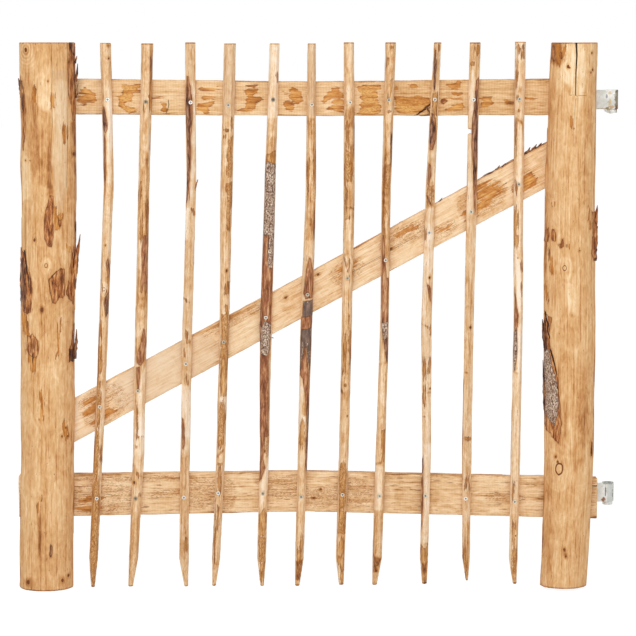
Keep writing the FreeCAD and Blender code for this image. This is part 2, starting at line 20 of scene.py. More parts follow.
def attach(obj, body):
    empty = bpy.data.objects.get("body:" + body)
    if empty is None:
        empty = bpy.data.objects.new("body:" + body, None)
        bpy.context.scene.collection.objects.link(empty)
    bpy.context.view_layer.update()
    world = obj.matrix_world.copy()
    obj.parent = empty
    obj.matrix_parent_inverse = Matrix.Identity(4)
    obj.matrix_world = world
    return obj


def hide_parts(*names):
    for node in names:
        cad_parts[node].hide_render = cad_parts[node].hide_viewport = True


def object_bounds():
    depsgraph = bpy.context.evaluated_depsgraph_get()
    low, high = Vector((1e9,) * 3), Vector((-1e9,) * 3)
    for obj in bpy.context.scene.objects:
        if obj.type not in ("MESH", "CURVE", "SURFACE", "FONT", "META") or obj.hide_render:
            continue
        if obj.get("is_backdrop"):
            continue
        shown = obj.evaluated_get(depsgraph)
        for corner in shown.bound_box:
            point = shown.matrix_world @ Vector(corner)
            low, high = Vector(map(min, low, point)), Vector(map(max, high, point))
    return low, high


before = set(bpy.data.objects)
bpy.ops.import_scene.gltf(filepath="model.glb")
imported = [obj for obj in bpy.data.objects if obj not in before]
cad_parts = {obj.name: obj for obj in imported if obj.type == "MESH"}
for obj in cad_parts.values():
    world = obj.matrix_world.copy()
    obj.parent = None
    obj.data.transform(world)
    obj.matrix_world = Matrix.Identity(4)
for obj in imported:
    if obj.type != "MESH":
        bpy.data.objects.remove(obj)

LOG = logging.getLogger("gate")
MM = 0.001
LEAF, HOOKS = "leaf", "hinge_hooks"
STEEL, ZINC = "galvanised_steel", "zinc_screw"
BRACE_SLOPE = 28.5

Pair = tuple[float, float]
Triple = tuple[float, float, float]
Tones = tuple[str, ...]
Array = np.ndarray
Piece = bpy.types.Object
Mesh = bpy.types.Mesh
Socket = bpy.types.NodeSocket


# ----- Shared helpers -----

def colour(code: str) -> tuple[float, float, float, float]:
    """A colour written as six hexadecimal digits, as linear RGBA."""
    parts = [int(code[start:start + 2], 16) / 255 for start in (0, 2, 4)]
    linear = [part / 12.92 if part <= 0.04045 else ((part + 0.055) / 1.055) ** 2.4
              for part in parts]
    return (*linear, 1.0)


def take(piece: Piece) -> None:
    """Select one object alone and make it the active one."""
    bpy.ops.object.select_all(action="DESELECT")
    piece.select_set(True)
    bpy.context.view_layer.objects.active = piece


def join(target: Piece, *others: Piece) -> None:
    """Join objects into the first of them, which stays the active one.

    Args:
        target: The object that takes in the others.
        *others: The others.
    """
    take(target)
    for other in others:
        other.select_set(True)
    bpy.ops.object.join()


@contextmanager
def editing() -> Iterator[None]:
    """Edit the active object's mesh for a while."""
    bpy.ops.object.mode_set(mode="EDIT")
    yield
    bpy.ops.object.mode_set(mode="OBJECT")


def modify(piece: Piece, kind: str, **settings: object) -> None:
    """Add a modifier to a piece and apply it.

    Args:
        piece: The object to work on.
        kind: The modifier's type, such as "BEVEL".
        **settings: The modifier's own properties.
    """
    take(piece)
    modifier = piece.modifiers.new(kind.title(), kind)
    for name, value in settings.items():
        setattr(modifier, name, value)
    bpy.ops.object.modifier_apply(modifier=modifier.name)


def merged_copy(node: str, label: str) -> Piece:
    """Copy a CAD node's mesh into a new object and merge its loose triangles.

    Args:
        node: The node's name.
        label: The new object's name.

    Returns:
        The new object, a closed mesh at the node's own place.
    """
    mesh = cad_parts[node].data.copy()
    mesh.name = label
    mesh.materials.clear()
    piece = bpy.data.objects.new(label, mesh)
    bpy.context.scene.collection.objects.link(piece)
    take(piece)
    with editing():
        bpy.ops.mesh.select_all(action="SELECT")
        bpy.ops.mesh.remove_doubles(threshold=0.02 * MM)
    return piece


def cylinder(vertices: int, radius: float, height: float, top: float) -> Piece:
    """Add an upright cylinder; all its sizes are in millimetres.

    Args:
        vertices: How many sides it has.
        radius: Its radius over the corners.
        height: Its height.
        top: Where its top lies.

    Returns:
        The cylinder.
    """
    bpy.ops.mesh.primitive_cylinder_add(
        vertices=vertices, radius=radius * MM, depth=height * MM,
        location=(0, 0, (top - height / 2) * MM))
    bpy.ops.object.transform_apply(location=True, rotation=True, scale=True)
    return bpy.context.active_object


def rows_of(items: bpy.types.bpy_prop_collection, key: str) -> Array:
    """Read one vector of each of a mesh's items.

    Args:
        items: The items, such as vertices.
        key: The vector's name.

    Returns:
        One row per item.
    """
    flat = np.empty(len(items) * 3, dtype=np.float32)
    items.foreach_get(key, flat)
    return flat.reshape(-1, 3).astype(float)


def points_of(mesh: Mesh) -> Array:
    """The mesh's vertices, one row each, in millimetres."""
    return rows_of(mesh.vertices, "co") / MM


def put_points(mesh: Mesh, points: Array) -> None:
    """Write vertices given in millimetres back into the mesh."""
    mesh.vertices.foreach_set("co", (points * MM).astype(np.float32).ravel())
    mesh.update()


def smooth(mesh: Mesh) -> None:
    """Shade every face of a mesh smooth."""
    mesh.polygons.foreach_set("use_smooth", [True] * len(mesh.polygons))


def soft_step(value: Array, low: float, high: float) -> Array:
    """0 below low, 1 above high and a smooth change between."""
    share = np.clip((value - low) / (high - low), 0.0, 1.0)
    return share * share * (3.0 - 2.0 * share)


class Noise:
    """Smooth, repeatable noise from -1 to 1, for arrays of points."""

    SIZE = 64

    def __init__(self, seed: int) -> None:
        """Fill the lattice that the noise is read from."""
        self.lattice = np.random.default_rng(seed).uniform(-1, 1, (self.SIZE,) * 3)

    def at(self, points: Array, period: Triple) -> Array:
        """Read the noise.

        Args:
            points: One row per point.
            period: Distance between the noise's own nodes along each axis.

        Returns:
            One value per point.
        """
        place = points / np.asarray(period)
        cell = np.floor(place).astype(int)
        part = place - cell
        part = part * part * (3.0 - 2.0 * part)
        total = np.zeros(len(points))
        for corner in itertools.product((0, 1), repeat=3):
            spot = (cell + corner) % self.SIZE
            weight = np.prod(np.where(corner, part, 1.0 - part), axis=1)
            total += weight * self.lattice[spot[:, 0], spot[:, 1], spot[:, 2]]
        return total


# ----- Materials -----

class Graph:
    """The node tree of a material or of the world, built one node at a time."""

    def __init__(self, owner: bpy.types.Material | bpy.types.World) -> None:
        """Start from the nodes that a new material or world comes with."""
        owner.use_nodes = True
        self.owner = owner
        self.nodes, self.links = owner.node_tree.nodes, owner.node_tree.links

    def find(self, kind: str) -> bpy.types.Node:
        """The first node of one type."""
        return next(node for node in self.nodes if node.type == kind)

    def feed(self, socket: Socket, value: object) -> None:
        """Link a socket to another one, or set its value."""
        if isinstance(value, Socket):
            self.links.new(value, socket)
        else:
            socket.default_value = value

    def add(self, kind: str, inputs: dict[str | int, object],
            **settings: object) -> bpy.types.Node:
        """Add a node.

        Args:
            kind: The node's type without its "ShaderNode" prefix.
            inputs: Value or source socket for each input, by name or place.
            **settings: The node's own properties.

        Returns:
            The new node.
        """
        node = self.nodes.new("ShaderNode" + kind)
        for name, value in settings.items():
            setattr(node, name, value)
        for name, value in inputs.items():
            self.feed(node.inputs[name], value)
        return node

    def math(self, operation: str, first: object, second: object = 0.0) -> Socket:
        """One arithmetic step on one or two numbers."""
        return self.add("Math", {0: first, 1: second}, operation=operation).outputs[0]

    def vector(self, operation: str, first: object,
               second: object = (0.0, 0.0, 0.0)) -> Socket:
        """One step on one or two vectors.

        Args:
            operation: The step's name.
            first: The vector.
            second: The other vector, where the step needs one.

        Returns:
            A vector, or a number for a length or a dot product.
        """
        node = self.add("VectorMath", {0: first, 1: second}, operation=operation)
        is_number = operation in ("LENGTH", "DOT_PRODUCT")
        return node.outputs["Value" if is_number else "Vector"]

    def weighted(self, part: Socket, share: float, total: object) -> Socket:
        """The total plus a share of a part."""
        return self.add("Math", {0: part, 1: share, 2: total},
                        operation="MULTIPLY_ADD").outputs[0]

    def sway(self, total: object, *parts: tuple[Socket, float]) -> Socket:
        """Shift a number by noises.

        Args:
            total: The number.
            *parts: Each noise, which lies about 0.5, and what its whole span adds.

        Returns:
            The shifted number.
        """
        for noise, span in parts:
            total = self.weighted(self.math("SUBTRACT", noise, 0.5), span, total)
        return total

    def channels(self, name: str) -> tuple[Socket, Socket, Socket, Socket]:
        """The four numbers of one of the mesh's colour attributes.

        Args:
            name: The attribute's name.

        Returns:
            One socket for each number.
        """
        node = self.add("Attribute", {}, attribute_name=name)
        parts = self.add("SeparateXYZ", {0: node.outputs["Vector"]}).outputs
        return (*parts, node.outputs["Alpha"])

    def place(self, name: str = "Object") -> Socket:
        """The place on the object, or its normal."""
        return self.add("TexCoord", {}).outputs[name]

    def noise(self, vector: Socket, waves: Pair, detail: float = 3.0,
              roughness: float = 0.55, distortion: float = 0.0) -> Socket:
        """Noise about 0.5.

        Args:
            vector: Where the noise is read.
            waves: Its number of waves in a metre, across and along.
            detail: How many finer layers it has.
            roughness: How much the finer layers tell.
            distortion: How far it is drawn out of shape.

        Returns:
            The noise.
        """
        across, along = waves
        return self.add("TexNoise", {
            "Vector": self.vector("MULTIPLY", vector, (across, across, along)),
            "Scale": 1.0, "Detail": detail, "Roughness": roughness,
            "Distortion": distortion}).outputs["Fac"]

    def cells(self, vector: Socket, waves: float, **inputs: float) -> bpy.types.Node:
        """A pattern of cells, with its number of waves in a metre."""
        return self.add("TexVoronoi", {
            "Vector": self.vector("MULTIPLY", vector, (waves, waves, waves)),
            "Scale": 1.0, **inputs})

    def step(self, value: Socket, low: float, high: float,
             start: float = 0.0, end: float = 1.0) -> Socket:
        """A smooth change.

        Args:
            value: What it depends on.
            low: The value up to which the result is start.
            high: The value from which on the result is end.
            start: The result at first.
            end: The result at last.

        Returns:
            The changing number.
        """
        return self.add("MapRange", {
            "Value": value, "From Min": low, "From Max": high,
            "To Min": start, "To Max": end}, interpolation_type="SMOOTHSTEP").outputs[0]

    def mix(self, share: object, first: object, second: object) -> Socket:
        """Blend two colours, given as sockets or as written colours.

        Args:
            share: How much of the second one there is.
            first: The first colour.
            second: The second colour.

        Returns:
            The blend.
        """
        first, second = (colour(item) if isinstance(item, str) else item
                         for item in (first, second))
        return self.add("Mix", {0: share, 6: first, 7: second},
                        data_type="RGBA").outputs[2]

    def ramp(self, value: Socket, tones: Tones) -> Socket:
        """Colours spread evenly over the values from 0 to 1.

        Args:
            value: The value.
            tones: The colours.

        Returns:
            The colour at the value.
        """
        node = self.add("ValToRGB", {0: value})
        stops = node.color_ramp.elements
        while len(stops) < len(tones):
            stops.new(0.5)
        for number, tone in enumerate(tones):
            stops[number].position = number / (len(tones) - 1)
            stops[number].color = colour(tone)
        return node.outputs[0]

    def seen(self) -> Socket:
        """1 for camera, glossy and transmission rays and 0 for the others."""
        path = self.add("LightPath", {}).outputs
        total = path["Is Camera Ray"]
        for name in ("Is Glossy Ray", "Is Transmission Ray"):
            total = self.math("MAXIMUM", total, path[name])
        return total

    def shade(self, paint: Socket, height: Socket, strength: float, depth: float,
              **inputs: object) -> None:
        """Feed the shader its colour, its bumps and its other inputs.

        Args:
            paint: Base colour.
            height: Height of the bumps, from about 0 to 1.
            strength: How strongly the bumps tell.
            depth: Depth of the bumps in millimetres.
            **inputs: Value or socket of other inputs, by their names in small letters.
        """
        shader = self.find("BSDF_PRINCIPLED")
        bump = self.add("Bump", {"Height": height, "Strength": strength,
                                 "Distance": depth * MM})
        self.feed(shader.inputs["Base Color"], paint)
        self.feed(shader.inputs["Normal"], bump.outputs["Normal"])
        for name, value in inputs.items():
            self.feed(shader.inputs[name.title()], value)


class WoodGraph(Graph):
    """The nodes of a wood finish, with the grain and the noises that all its parts read."""

    def __init__(self, finish: "WoodFinish") -> None:
        """Start the material and make its noises: short, long and fine ones."""
        super().__init__(bpy.data.materials.new(finish.name))
        self.grain = self.add("Attribute", {}, attribute_name="grain").outputs["Vector"]
        self.flames = self.noise(self.grain, finish.flames, 4.0, 0.6, 1.0)
        self.streaks = self.noise(self.grain, finish.streaks, 5.0, 0.66, 0.5)
        self.fibres = self.noise(self.grain, finish.fibres, 3.0, 0.7)


@dataclass(frozen=True)
class WoodFinish:
    """Colours and figure of one kind of wood.

    Waves are counted in a metre, across and along the wood.  The mesh gives four attributes:
    "grain" is the place across, into and along the wood; "marks" holds the fields of bark,
    its kind, the field of stain and the cracks' reach; "lines" holds the distance from a
    crack, the place between the edges, the stipple and the greyness; "figure" holds the
    distance from a knot, its ring, the tone and the flaming.  The fields of bark and stain
    are distances from their outlines in millimetres.
    """

    name: str
    tones: Tones
    stains: Tones = ("E0AA60", "CE8C44", "B8722C", "95541D", "683917")
    inner_bark: Tones = ("4E2715", "7F4828", "AC6A3A", "CC8E56", "E3B681")
    dark_bark: Tones = ("26120B", "452417", "6C4029", "966643", "C09266")
    axis: Triple = (0.0, 0.0, 1.0)
    pith: Pair = (0.0, 0.0)
    clouds: Pair = (26.0, 8.0)
    streaks: Pair = (170.0, 26.0)
    fibres: Pair = (430.0, 140.0)
    mottle: Pair = (62.0, 40.0)
    dashes: Pair = (330.0, 75.0)
    flames: Pair = (140.0, 38.0)
    threads: Pair = (330.0, 7.0)
    shares: Triple = (0.45, 0.4, 0.8)
    mottle_share: float = 0.6
    middle: float = 0.42
    stain_fray: Pair = (18.0, 9.0)
    stain_growth: float = 0.9
    stain_share: float = 0.92
    bark_fray: Pair = (4.0, 3.0)
    thread_share: float = 0.15
    dash_level: float = 0.69
    edge_level: float = 1.0
    saw_marks: float = 0.0
    flame_level: float = 0.1
    flame_share: float = 0.7
    flame: str = "9A5E2C"

    # One unit of a mark's tone, on the scale of the tones; the colours of all other marks,
    # with the most that they cover, among them the painted shade inside the cracks and the
    # bark's dark rim, which is partly painted shade; and waves in a metre.
    TONE_STEP = 0.2
    GREY_TONE, GREY_SHARE = "CFB091", 0.32
    DASH_TONE, DASH_SHARE, DOT_SHARE, DOT_WAVES = "8A5328", 0.7, 0.75, 300.0
    CRACK_SHADE = "2C1A0E"
    GREY_BARK = ("452F26", "7C6050", "A88A73", "CFB69F", "F0E4D2")
    SLATE_BARK = ("4B3A33", "68544A", "7D6659", "94796A")
    BARE_PLATE, TORN_BARK, BARK_RIM, BARK_HALO = "85583C", "A5622F", "3F2012", "BC7C42"
    CONTOUR_WAVES, SAW_WAVES, RING_WAVES = 720.0, 1300.0, 2100.0

    def build(self) -> bpy.types.Material:
        """Build the material."""
        graph = WoodGraph(self)
        bark, kind, stain, reach = graph.channels("marks")
        crack, edge, stipple, greyness = graph.channels("lines")
        knot, ring, tone, flaming = graph.channels("figure")

        clouds = graph.noise(graph.grain, self.clouds, 4.0, 0.6, 0.7)
        level = graph.weighted(tone, self.TONE_STEP, self.middle - 0.5 * sum(self.shares))
        for part, share in zip((clouds, graph.streaks, graph.fibres), self.shares):
            level = graph.weighted(part, share, level)
        mottle = graph.noise(graph.grain, self.mottle, 4.0, 0.6, 1.5)
        level = graph.sway(level, (mottle, self.mottle_share))
        for extra in (self.thread_tone(graph), self.knot_tone(graph, knot, ring),
                      self.edge_tone(graph, edge), self.saw_tone(graph)):
            level = graph.math("ADD", level, extra)
        paint = graph.ramp(level, self.tones)
        paint = graph.mix(graph.math("MULTIPLY", greyness, self.GREY_SHARE), paint, self.GREY_TONE)
        dashes = graph.step(graph.noise(graph.grain, self.dashes, 2.0), self.dash_level,
                            self.dash_level + 0.05, 0.0, self.DASH_SHARE)
        paint = graph.mix(dashes, paint, self.DASH_TONE)
        paint = self.stain(graph, paint, stain, flaming)
        dots = graph.cells(graph.grain, self.DOT_WAVES, Randomness=0.35).outputs["Distance"]
        dots = graph.step(dots, 0.18, 0.36, self.DOT_SHARE, 0.0)
        paint = graph.mix(graph.math("MULTIPLY", dots, stipple), paint, self.DASH_TONE)
        paint = self.end_grain(graph, paint)
        paint, cover, crust = self.bark(graph, paint, bark, kind)
        # Painted shade inside the cracks: a dark line along each crack, as far as it reaches.
        width = graph.sway(graph.math("ABSOLUTE", crack), (graph.fibres, 0.9))
        gap = graph.math("MULTIPLY", graph.step(width, 0.75, 1.15, 1.0, 0.0), reach)
        paint = graph.mix(gap, paint, self.CRACK_SHADE)

        height = graph.weighted(graph.fibres, 0.6, graph.math("MULTIPLY", graph.streaks, 0.5))
        height = graph.math("ADD", height, graph.math("MULTIPLY", crust, cover))
        graph.shade(paint, graph.math("SUBTRACT", height, gap), 0.6, 1.4,
                    roughness=graph.step(graph.streaks, 0.3, 0.7, 0.68, 0.84))
        graph.feed(graph.find("BSDF_PRINCIPLED").inputs["Specular IOR Level"], 0.25)
        return graph.owner

    def thread_tone(self, graph: WoodGraph) -> Socket:
        """Tone of long, crisp lines along the wood: dark ones and a few pale ones."""
        threads = graph.noise(graph.grain, self.threads, 2.0, 0.55, 0.25)
        dark = graph.step(threads, 0.585, 0.64, 0.0, self.thread_share)
        pale = graph.step(threads, 0.36, 0.42, -0.6 * self.thread_share, 0.0)
        return graph.math("ADD", dark, pale)

    def knot_tone(self, graph: WoodGraph, knot: Socket, ring: Socket) -> Socket:
        """Tone of the knots: a dark heart with a halo, or a ring.

        Args:
            graph: The material's nodes.
            knot: Distance from the nearest knot, in its radii.
            ring: 1 for a cut stub, which has a ring, and 0 for a solid knot.

        Returns:
            How much darker the wood is.
        """
        frayed = graph.sway(knot, (graph.flames, 0.5))
        solid = graph.math("SUBTRACT", 1.0, ring)
        heart = graph.math("MULTIPLY", graph.step(frayed, 0.5, 1.0, 0.75, -0.02), solid)
        halo = graph.math("MULTIPLY", graph.step(frayed, 0.7, 2.6, 0.2, 0.0), solid)
        rim = graph.math("SUBTRACT", graph.step(frayed, 0.72, 0.9, 0.0, 0.95),
                         graph.step(frayed, 0.98, 1.16, 0.12, 1.07))
        rim = graph.math("MULTIPLY", rim, ring)
        return graph.math("ADD", graph.math("ADD", heart, halo), rim)

    def edge_tone(self, graph: WoodGraph, edge: Socket) -> Socket:
        """Tone of a thin line along the edges, in stretches that come and go.

        Args:
            graph: The material's nodes.
            edge: Place between the edges, from -1 to 1.

        Returns:
            How much darker the wood is.
        """
        drift = graph.noise(graph.grain, (30.0, 9.0), 3.0, 0.6)
        nearness = graph.sway(graph.math("ABSOLUTE", edge), (drift, 0.5), (graph.streaks, 0.3))
        return graph.step(nearness, self.edge_level - 0.06, self.edge_level + 0.05, 0.0, 0.34)

    def saw_tone(self, graph: WoodGraph) -> Socket:
        """Tone of faint lines across the wood, left by the saw."""
        place = graph.place()
        along = graph.vector("DOT_PRODUCT", place, self.axis)
        wobble = graph.noise(place, (14.0, 14.0), 2.0)
        phase = graph.weighted(wobble, 12.0, graph.math("MULTIPLY", along, self.SAW_WAVES))
        return graph.math("MULTIPLY", graph.math("SINE", phase), self.saw_marks)

    def stain(self, graph: WoodGraph, paint: Socket, stain: Socket, flaming: Socket) -> Socket:
        """Orange to brown stains with torn outlines.

        Args:
            graph: The material's nodes.
            paint: The wood's colour so far.
            stain: Distance inside the stain's outline.
            flaming: How strongly the stain breaks up into contour lines.

        Returns:
            The wood's colour with its stains.
        """
        coarse, fine = self.stain_fray
        level = graph.sway(graph.math("ADD", stain, self.stain_growth), (graph.streaks, coarse),
                           (graph.fibres, fine), (graph.flames, 0.45 * coarse))
        rim = graph.weighted(flaming, -0.24, graph.step(level, 0.5, 2.6, 0.26, 0.0))
        shade = graph.sway(graph.math("ADD", rim, 0.3), (graph.streaks, 2.2),
                           (graph.flames, 1.6), (graph.fibres, 1.2))
        cover = graph.step(level, -0.5, 0.5, 0.0, self.stain_share)
        paint = graph.mix(cover, paint, graph.ramp(shade, self.stains))
        along = graph.add("SeparateXYZ", {0: graph.grain}).outputs["Z"]
        phase = graph.weighted(graph.streaks, 46.0,
                               graph.math("MULTIPLY", along, self.CONTOUR_WAVES))
        wave = graph.math("SINE", graph.weighted(graph.flames, 24.0, phase))
        wave = graph.step(graph.sway(wave, (graph.fibres, 3.5)), self.flame_level,
                          self.flame_level + 1.0, 0.0, self.flame_share)
        return graph.mix(graph.math("MULTIPLY", wave, flaming), paint, self.flame)

    def end_grain(self, graph: WoodGraph, paint: Socket) -> Socket:
        """Year rings on the sawn ends.

        Args:
            graph: The material's nodes.
            paint: The wood's colour so far.

        Returns:
            The colour with the sawn ends.
        """
        facing = graph.vector("DOT_PRODUCT", graph.place("Normal"), self.axis)
        is_end = graph.step(graph.math("ABSOLUTE", facing), 0.72, 0.9)
        flat = graph.vector("MULTIPLY", graph.grain, (1.0, 1.0, 0.0))
        centred = graph.vector("SUBTRACT", flat, (self.pith[0] * MM, self.pith[1] * MM, 0.0))
        radius = graph.math("MULTIPLY", graph.vector("LENGTH", centred), self.RING_WAVES)
        phase = graph.weighted(graph.noise(centred, (60.0, 60.0)), 9.0, radius)
        rough = graph.noise(centred, (700.0, 700.0), 2.0)
        level = graph.math("ADD", graph.step(graph.math("SINE", phase), -0.6, 1.0, 0.3, 0.6),
                           graph.step(rough, 0.5, 0.75, 0.0, 0.25))
        return graph.mix(is_end, paint, graph.ramp(level, self.tones))

    def bark(self, graph: WoodGraph, paint: Socket, bark: Socket,
             kind: Socket) -> tuple[Socket, Socket, Socket]:
        """Bark that frays out along the fibres.

        Args:
            graph: The material's nodes.
            paint: The wood's colour so far.
            bark: Distance inside the bark's outline.
            kind: 0 for reddish inner bark, 0.5 for dark, 0.8 for slate-coloured and 1 for
                grey, speckled bark.

        Returns:
            The new colour, how far the bark covers the wood, and the height of its crust.
        """
        frayed = graph.sway(bark, (graph.streaks, self.bark_fray[0]),
                            (graph.flames, self.bark_fray[1]))
        cover = graph.step(frayed, -0.1, 0.5)
        plates = graph.noise(graph.grain, (220.0, 42.0), 5.0, 0.7, 0.4)
        share = graph.step(plates, 0.3, 0.7)
        inner = graph.ramp(share, self.inner_bark)
        inner = graph.mix(graph.step(frayed, 0.2, 2.2, 0.45, 0.0), inner, self.TORN_BARK)
        dark = graph.ramp(share, self.dark_bark)
        speckle = graph.noise(graph.grain, (520.0, 300.0), 3.0, 0.65)
        outer = graph.ramp(graph.step(speckle, 0.33, 0.67), self.GREY_BARK)
        outer = graph.mix(graph.step(plates, 0.46, 0.7, 0.0, 0.7), outer, self.BARE_PLATE)
        mixed = graph.sway(kind, (graph.flames, 0.7))
        slate = graph.ramp(share, self.SLATE_BARK)
        outer = graph.mix(graph.step(mixed, 0.84, 0.9), slate, outer)
        skin = graph.mix(graph.step(mixed, 0.2, 0.35), inner, dark)
        skin = graph.mix(graph.step(mixed, 0.62, 0.72), skin, outer)
        # A dark rim just inside the bark's edge: partly its real dark-brown edge, partly painted
        # shade along the raised bark's edge.
        skin = graph.mix(graph.step(frayed, 0.2, 1.7, 0.6, 0.0), skin, self.BARK_RIM)
        crust = graph.weighted(plates, 1.4, graph.math("MULTIPLY", speckle, 0.7))
        paint = graph.mix(graph.step(frayed, -2.6, -0.1, 0.0, 0.5), paint, self.BARK_HALO)
        return graph.mix(cover, paint, skin), cover, crust


@dataclass(frozen=True)
class Spot:
    """A spot of rust, of dirt, or of painted shade: its centre and radii in millimetres, its
    colour and share.
    """

    centre: Triple
    radii: Triple
    shade: str
    share: float = 0.8


@dataclass(frozen=True)
class SteelFinish:
    """Dull zinc on steel, with spangle, grime and spots."""

    name: str
    bright: str
    dull: str
    spots: tuple[Spot, ...] = ()
    metallic: float = 0.55
    roughness: float = 0.42

    # Waves in a metre, the colour of grime, the painted highlight and painted shade of whole
    # heads, and the painted shade in their recesses.
    SPANGLE_WAVES, CLOUD_WAVES, GRIME_WAVES = 170.0, 45.0, 240.0
    GRIME, WHITENED, BROWNED, RECESS = "8C7A58", "FAFAF6", "4A3322", "35322E"

    def build(self) -> bpy.types.Material:
        """Build the material."""
        graph = Graph(bpy.data.materials.new(self.name))
        place = graph.place()
        spangle = graph.cells(place, self.SPANGLE_WAVES).outputs["Color"]
        flake = graph.add("SeparateColor", {0: spangle}).outputs[0]
        clouds = graph.noise(place, (self.CLOUD_WAVES,) * 2, 4.0, 0.6)
        grime = graph.noise(place, (self.GRIME_WAVES,) * 2, 3.0, 0.6)
        recess, shade, _, _ = graph.channels("painted_head_light")
        paint = graph.mix(graph.step(clouds, 0.35, 0.65), self.bright, self.dull)
        for cover, tone in ((graph.step(flake, 0.0, 1.0, 0.0, 0.22), self.dull),
                            (graph.step(grime, 0.62, 0.74, 0.0, 0.45), self.GRIME),
                            # Painted highlight and painted shade on whole heads, then painted
                            # shade in the recesses.
                            (graph.step(shade, 0.0, 1.0, 0.0, 0.85), self.WHITENED),
                            (graph.step(shade, -1.0, 0.0, 0.9, 0.0), self.BROWNED),
                            (graph.math("MULTIPLY", recess, 0.72), self.RECESS)):
            paint = graph.mix(cover, paint, tone)
        for spot in self.spots:
            offset = graph.vector("SUBTRACT", place, tuple(size * MM for size in spot.centre))
            offset = graph.vector("MULTIPLY", offset,
                                  tuple(1.0 / (size * MM) for size in spot.radii))
            reach = graph.sway(graph.vector("LENGTH", offset), (grime, 1.8))
            paint = graph.mix(graph.step(reach, 0.8, 1.15, spot.share, 0.0), paint, spot.shade)
        graph.shade(paint, grime, 0.25, 0.25, metallic=self.metallic, roughness=graph.step(
            clouds, 0.3, 0.7, self.roughness, self.roughness + 0.16))
        return graph.owner


# ----- Marks on the wood -----

# Distances beyond which an outline, a crack or a knot no longer matters: in millimetres, in
# the crack's half widths and in the knot's radii.
FAR, CRACK_FAR, KNOT_FAR = 9.0, 6.0, 4.0

# A mark sets in between these distances inside its outline, in millimetres.
OUTLINE = (-0.5, 0.7)


def measure_leg(start: Pair, end: Pair, across: Array, along: Array) -> tuple[Array, Array, float]:
    """Measure points against a line between two places.

    Args:
        start: Where the line starts.
        end: Where it ends.
        across: The points' places across the piece.
        along: The points' places along the piece.

    Returns:
        Each point's distance beside the line and along it from its start, and its length.
    """
    step = np.subtract(end, start)
    length = max(float(np.hypot(*step)), 0.1)
    step = step / length
    side, rise = across - start[0], along - start[1]
    return side * step[1] - rise * step[0], side * step[0] + rise * step[1], length


@dataclass(frozen=True)
class Effect:
    """What a kind of mark does to the wood: its relief in millimetres and its colours."""

    raised: float = 0.0
    bark: float | None = None
    stain: bool = False
    flaming: float = 0.0
    greyness: float = 0.0
    stipple: float = 0.0
    tone: float = 0.0
    cut: float = 0.0


class Kind(Enum):
    """The kinds of marks: four barks, two stains, figure, tones and a notch in the edge."""

    INNER = Effect(raised=0.7, bark=0.0)
    DARK = Effect(raised=1.2, bark=0.5)
    GREY = Effect(raised=1.6, bark=1.0)
    SLATE = Effect(raised=1.6, bark=0.8)
    STAIN = Effect(stain=True)
    FLAME = Effect(stain=True, flaming=1.0)
    WAVES = Effect(flaming=1.0, tone=0.35)
    STIPPLE = Effect(stipple=1.0)
    GREYED = Effect(greyness=1.0)
    PALE = Effect(tone=-1.1)
    LIGHT = Effect(tone=-0.6)
    PALER = Effect(tone=-0.3)
    DULL = Effect(tone=0.3)
    TAN = Effect(tone=0.6)
    BROWN = Effect(tone=1.9)
    NOTCH = Effect(cut=0.85, tone=0.4)


@dataclass(frozen=True)
class Mark:
    """A spindle between two places, each given as (across, along) in millimetres.

    Across is counted from the piece's centre line and along from its foot or left end.
    """

    kind: Kind
    start: Pair
    end: Pair
    width: float

    # Powers of its outline across and along, and its run past both ends in half widths.
    ROUND, LONG, OVERRUN = 2.2, 3.5, 0.4

    def reach(self, across: Array, along: Array) -> Array:
        """Distance inside the mark's outline, negative outside it."""
        beside, beyond, length = measure_leg(self.start, self.end, across, along)
        half_width = self.width / 2
        half_length = length / 2 + self.OVERRUN * half_width
        share = (np.abs(beside / half_width) ** self.ROUND
                 + np.abs((beyond - length / 2) / half_length) ** self.LONG) ** (1 / self.ROUND)
        return (1.0 - share) * half_width


@dataclass(frozen=True)
class Patch:
    """An area inside an outline of places, each given as (across, along) in millimetres."""

    kind: Kind
    outline: tuple[Pair, ...]

    def reach(self, across: Array, along: Array) -> Array:
        """Distance inside the patch's outline, negative outside it."""
        nearest = np.full(len(across), np.inf)
        inside = np.zeros(len(across), dtype=bool)
        for start, end in zip(self.outline, self.outline[1:] + self.outline[:1]):
            step = np.subtract(end, start).astype(float)
            side, rise = across - start[0], along - start[1]
            share = np.clip((side * step[0] + rise * step[1]) / (step @ step), 0.0, 1.0)
            nearest = np.minimum(nearest, np.hypot(side - share * step[0],
                                                   rise - share * step[1]))
            if step[1]:
                crossed = (start[1] <= along) != (end[1] <= along)
                inside ^= crossed & (side < rise * step[0] / step[1])
        return np.where(inside, nearest, -nearest)


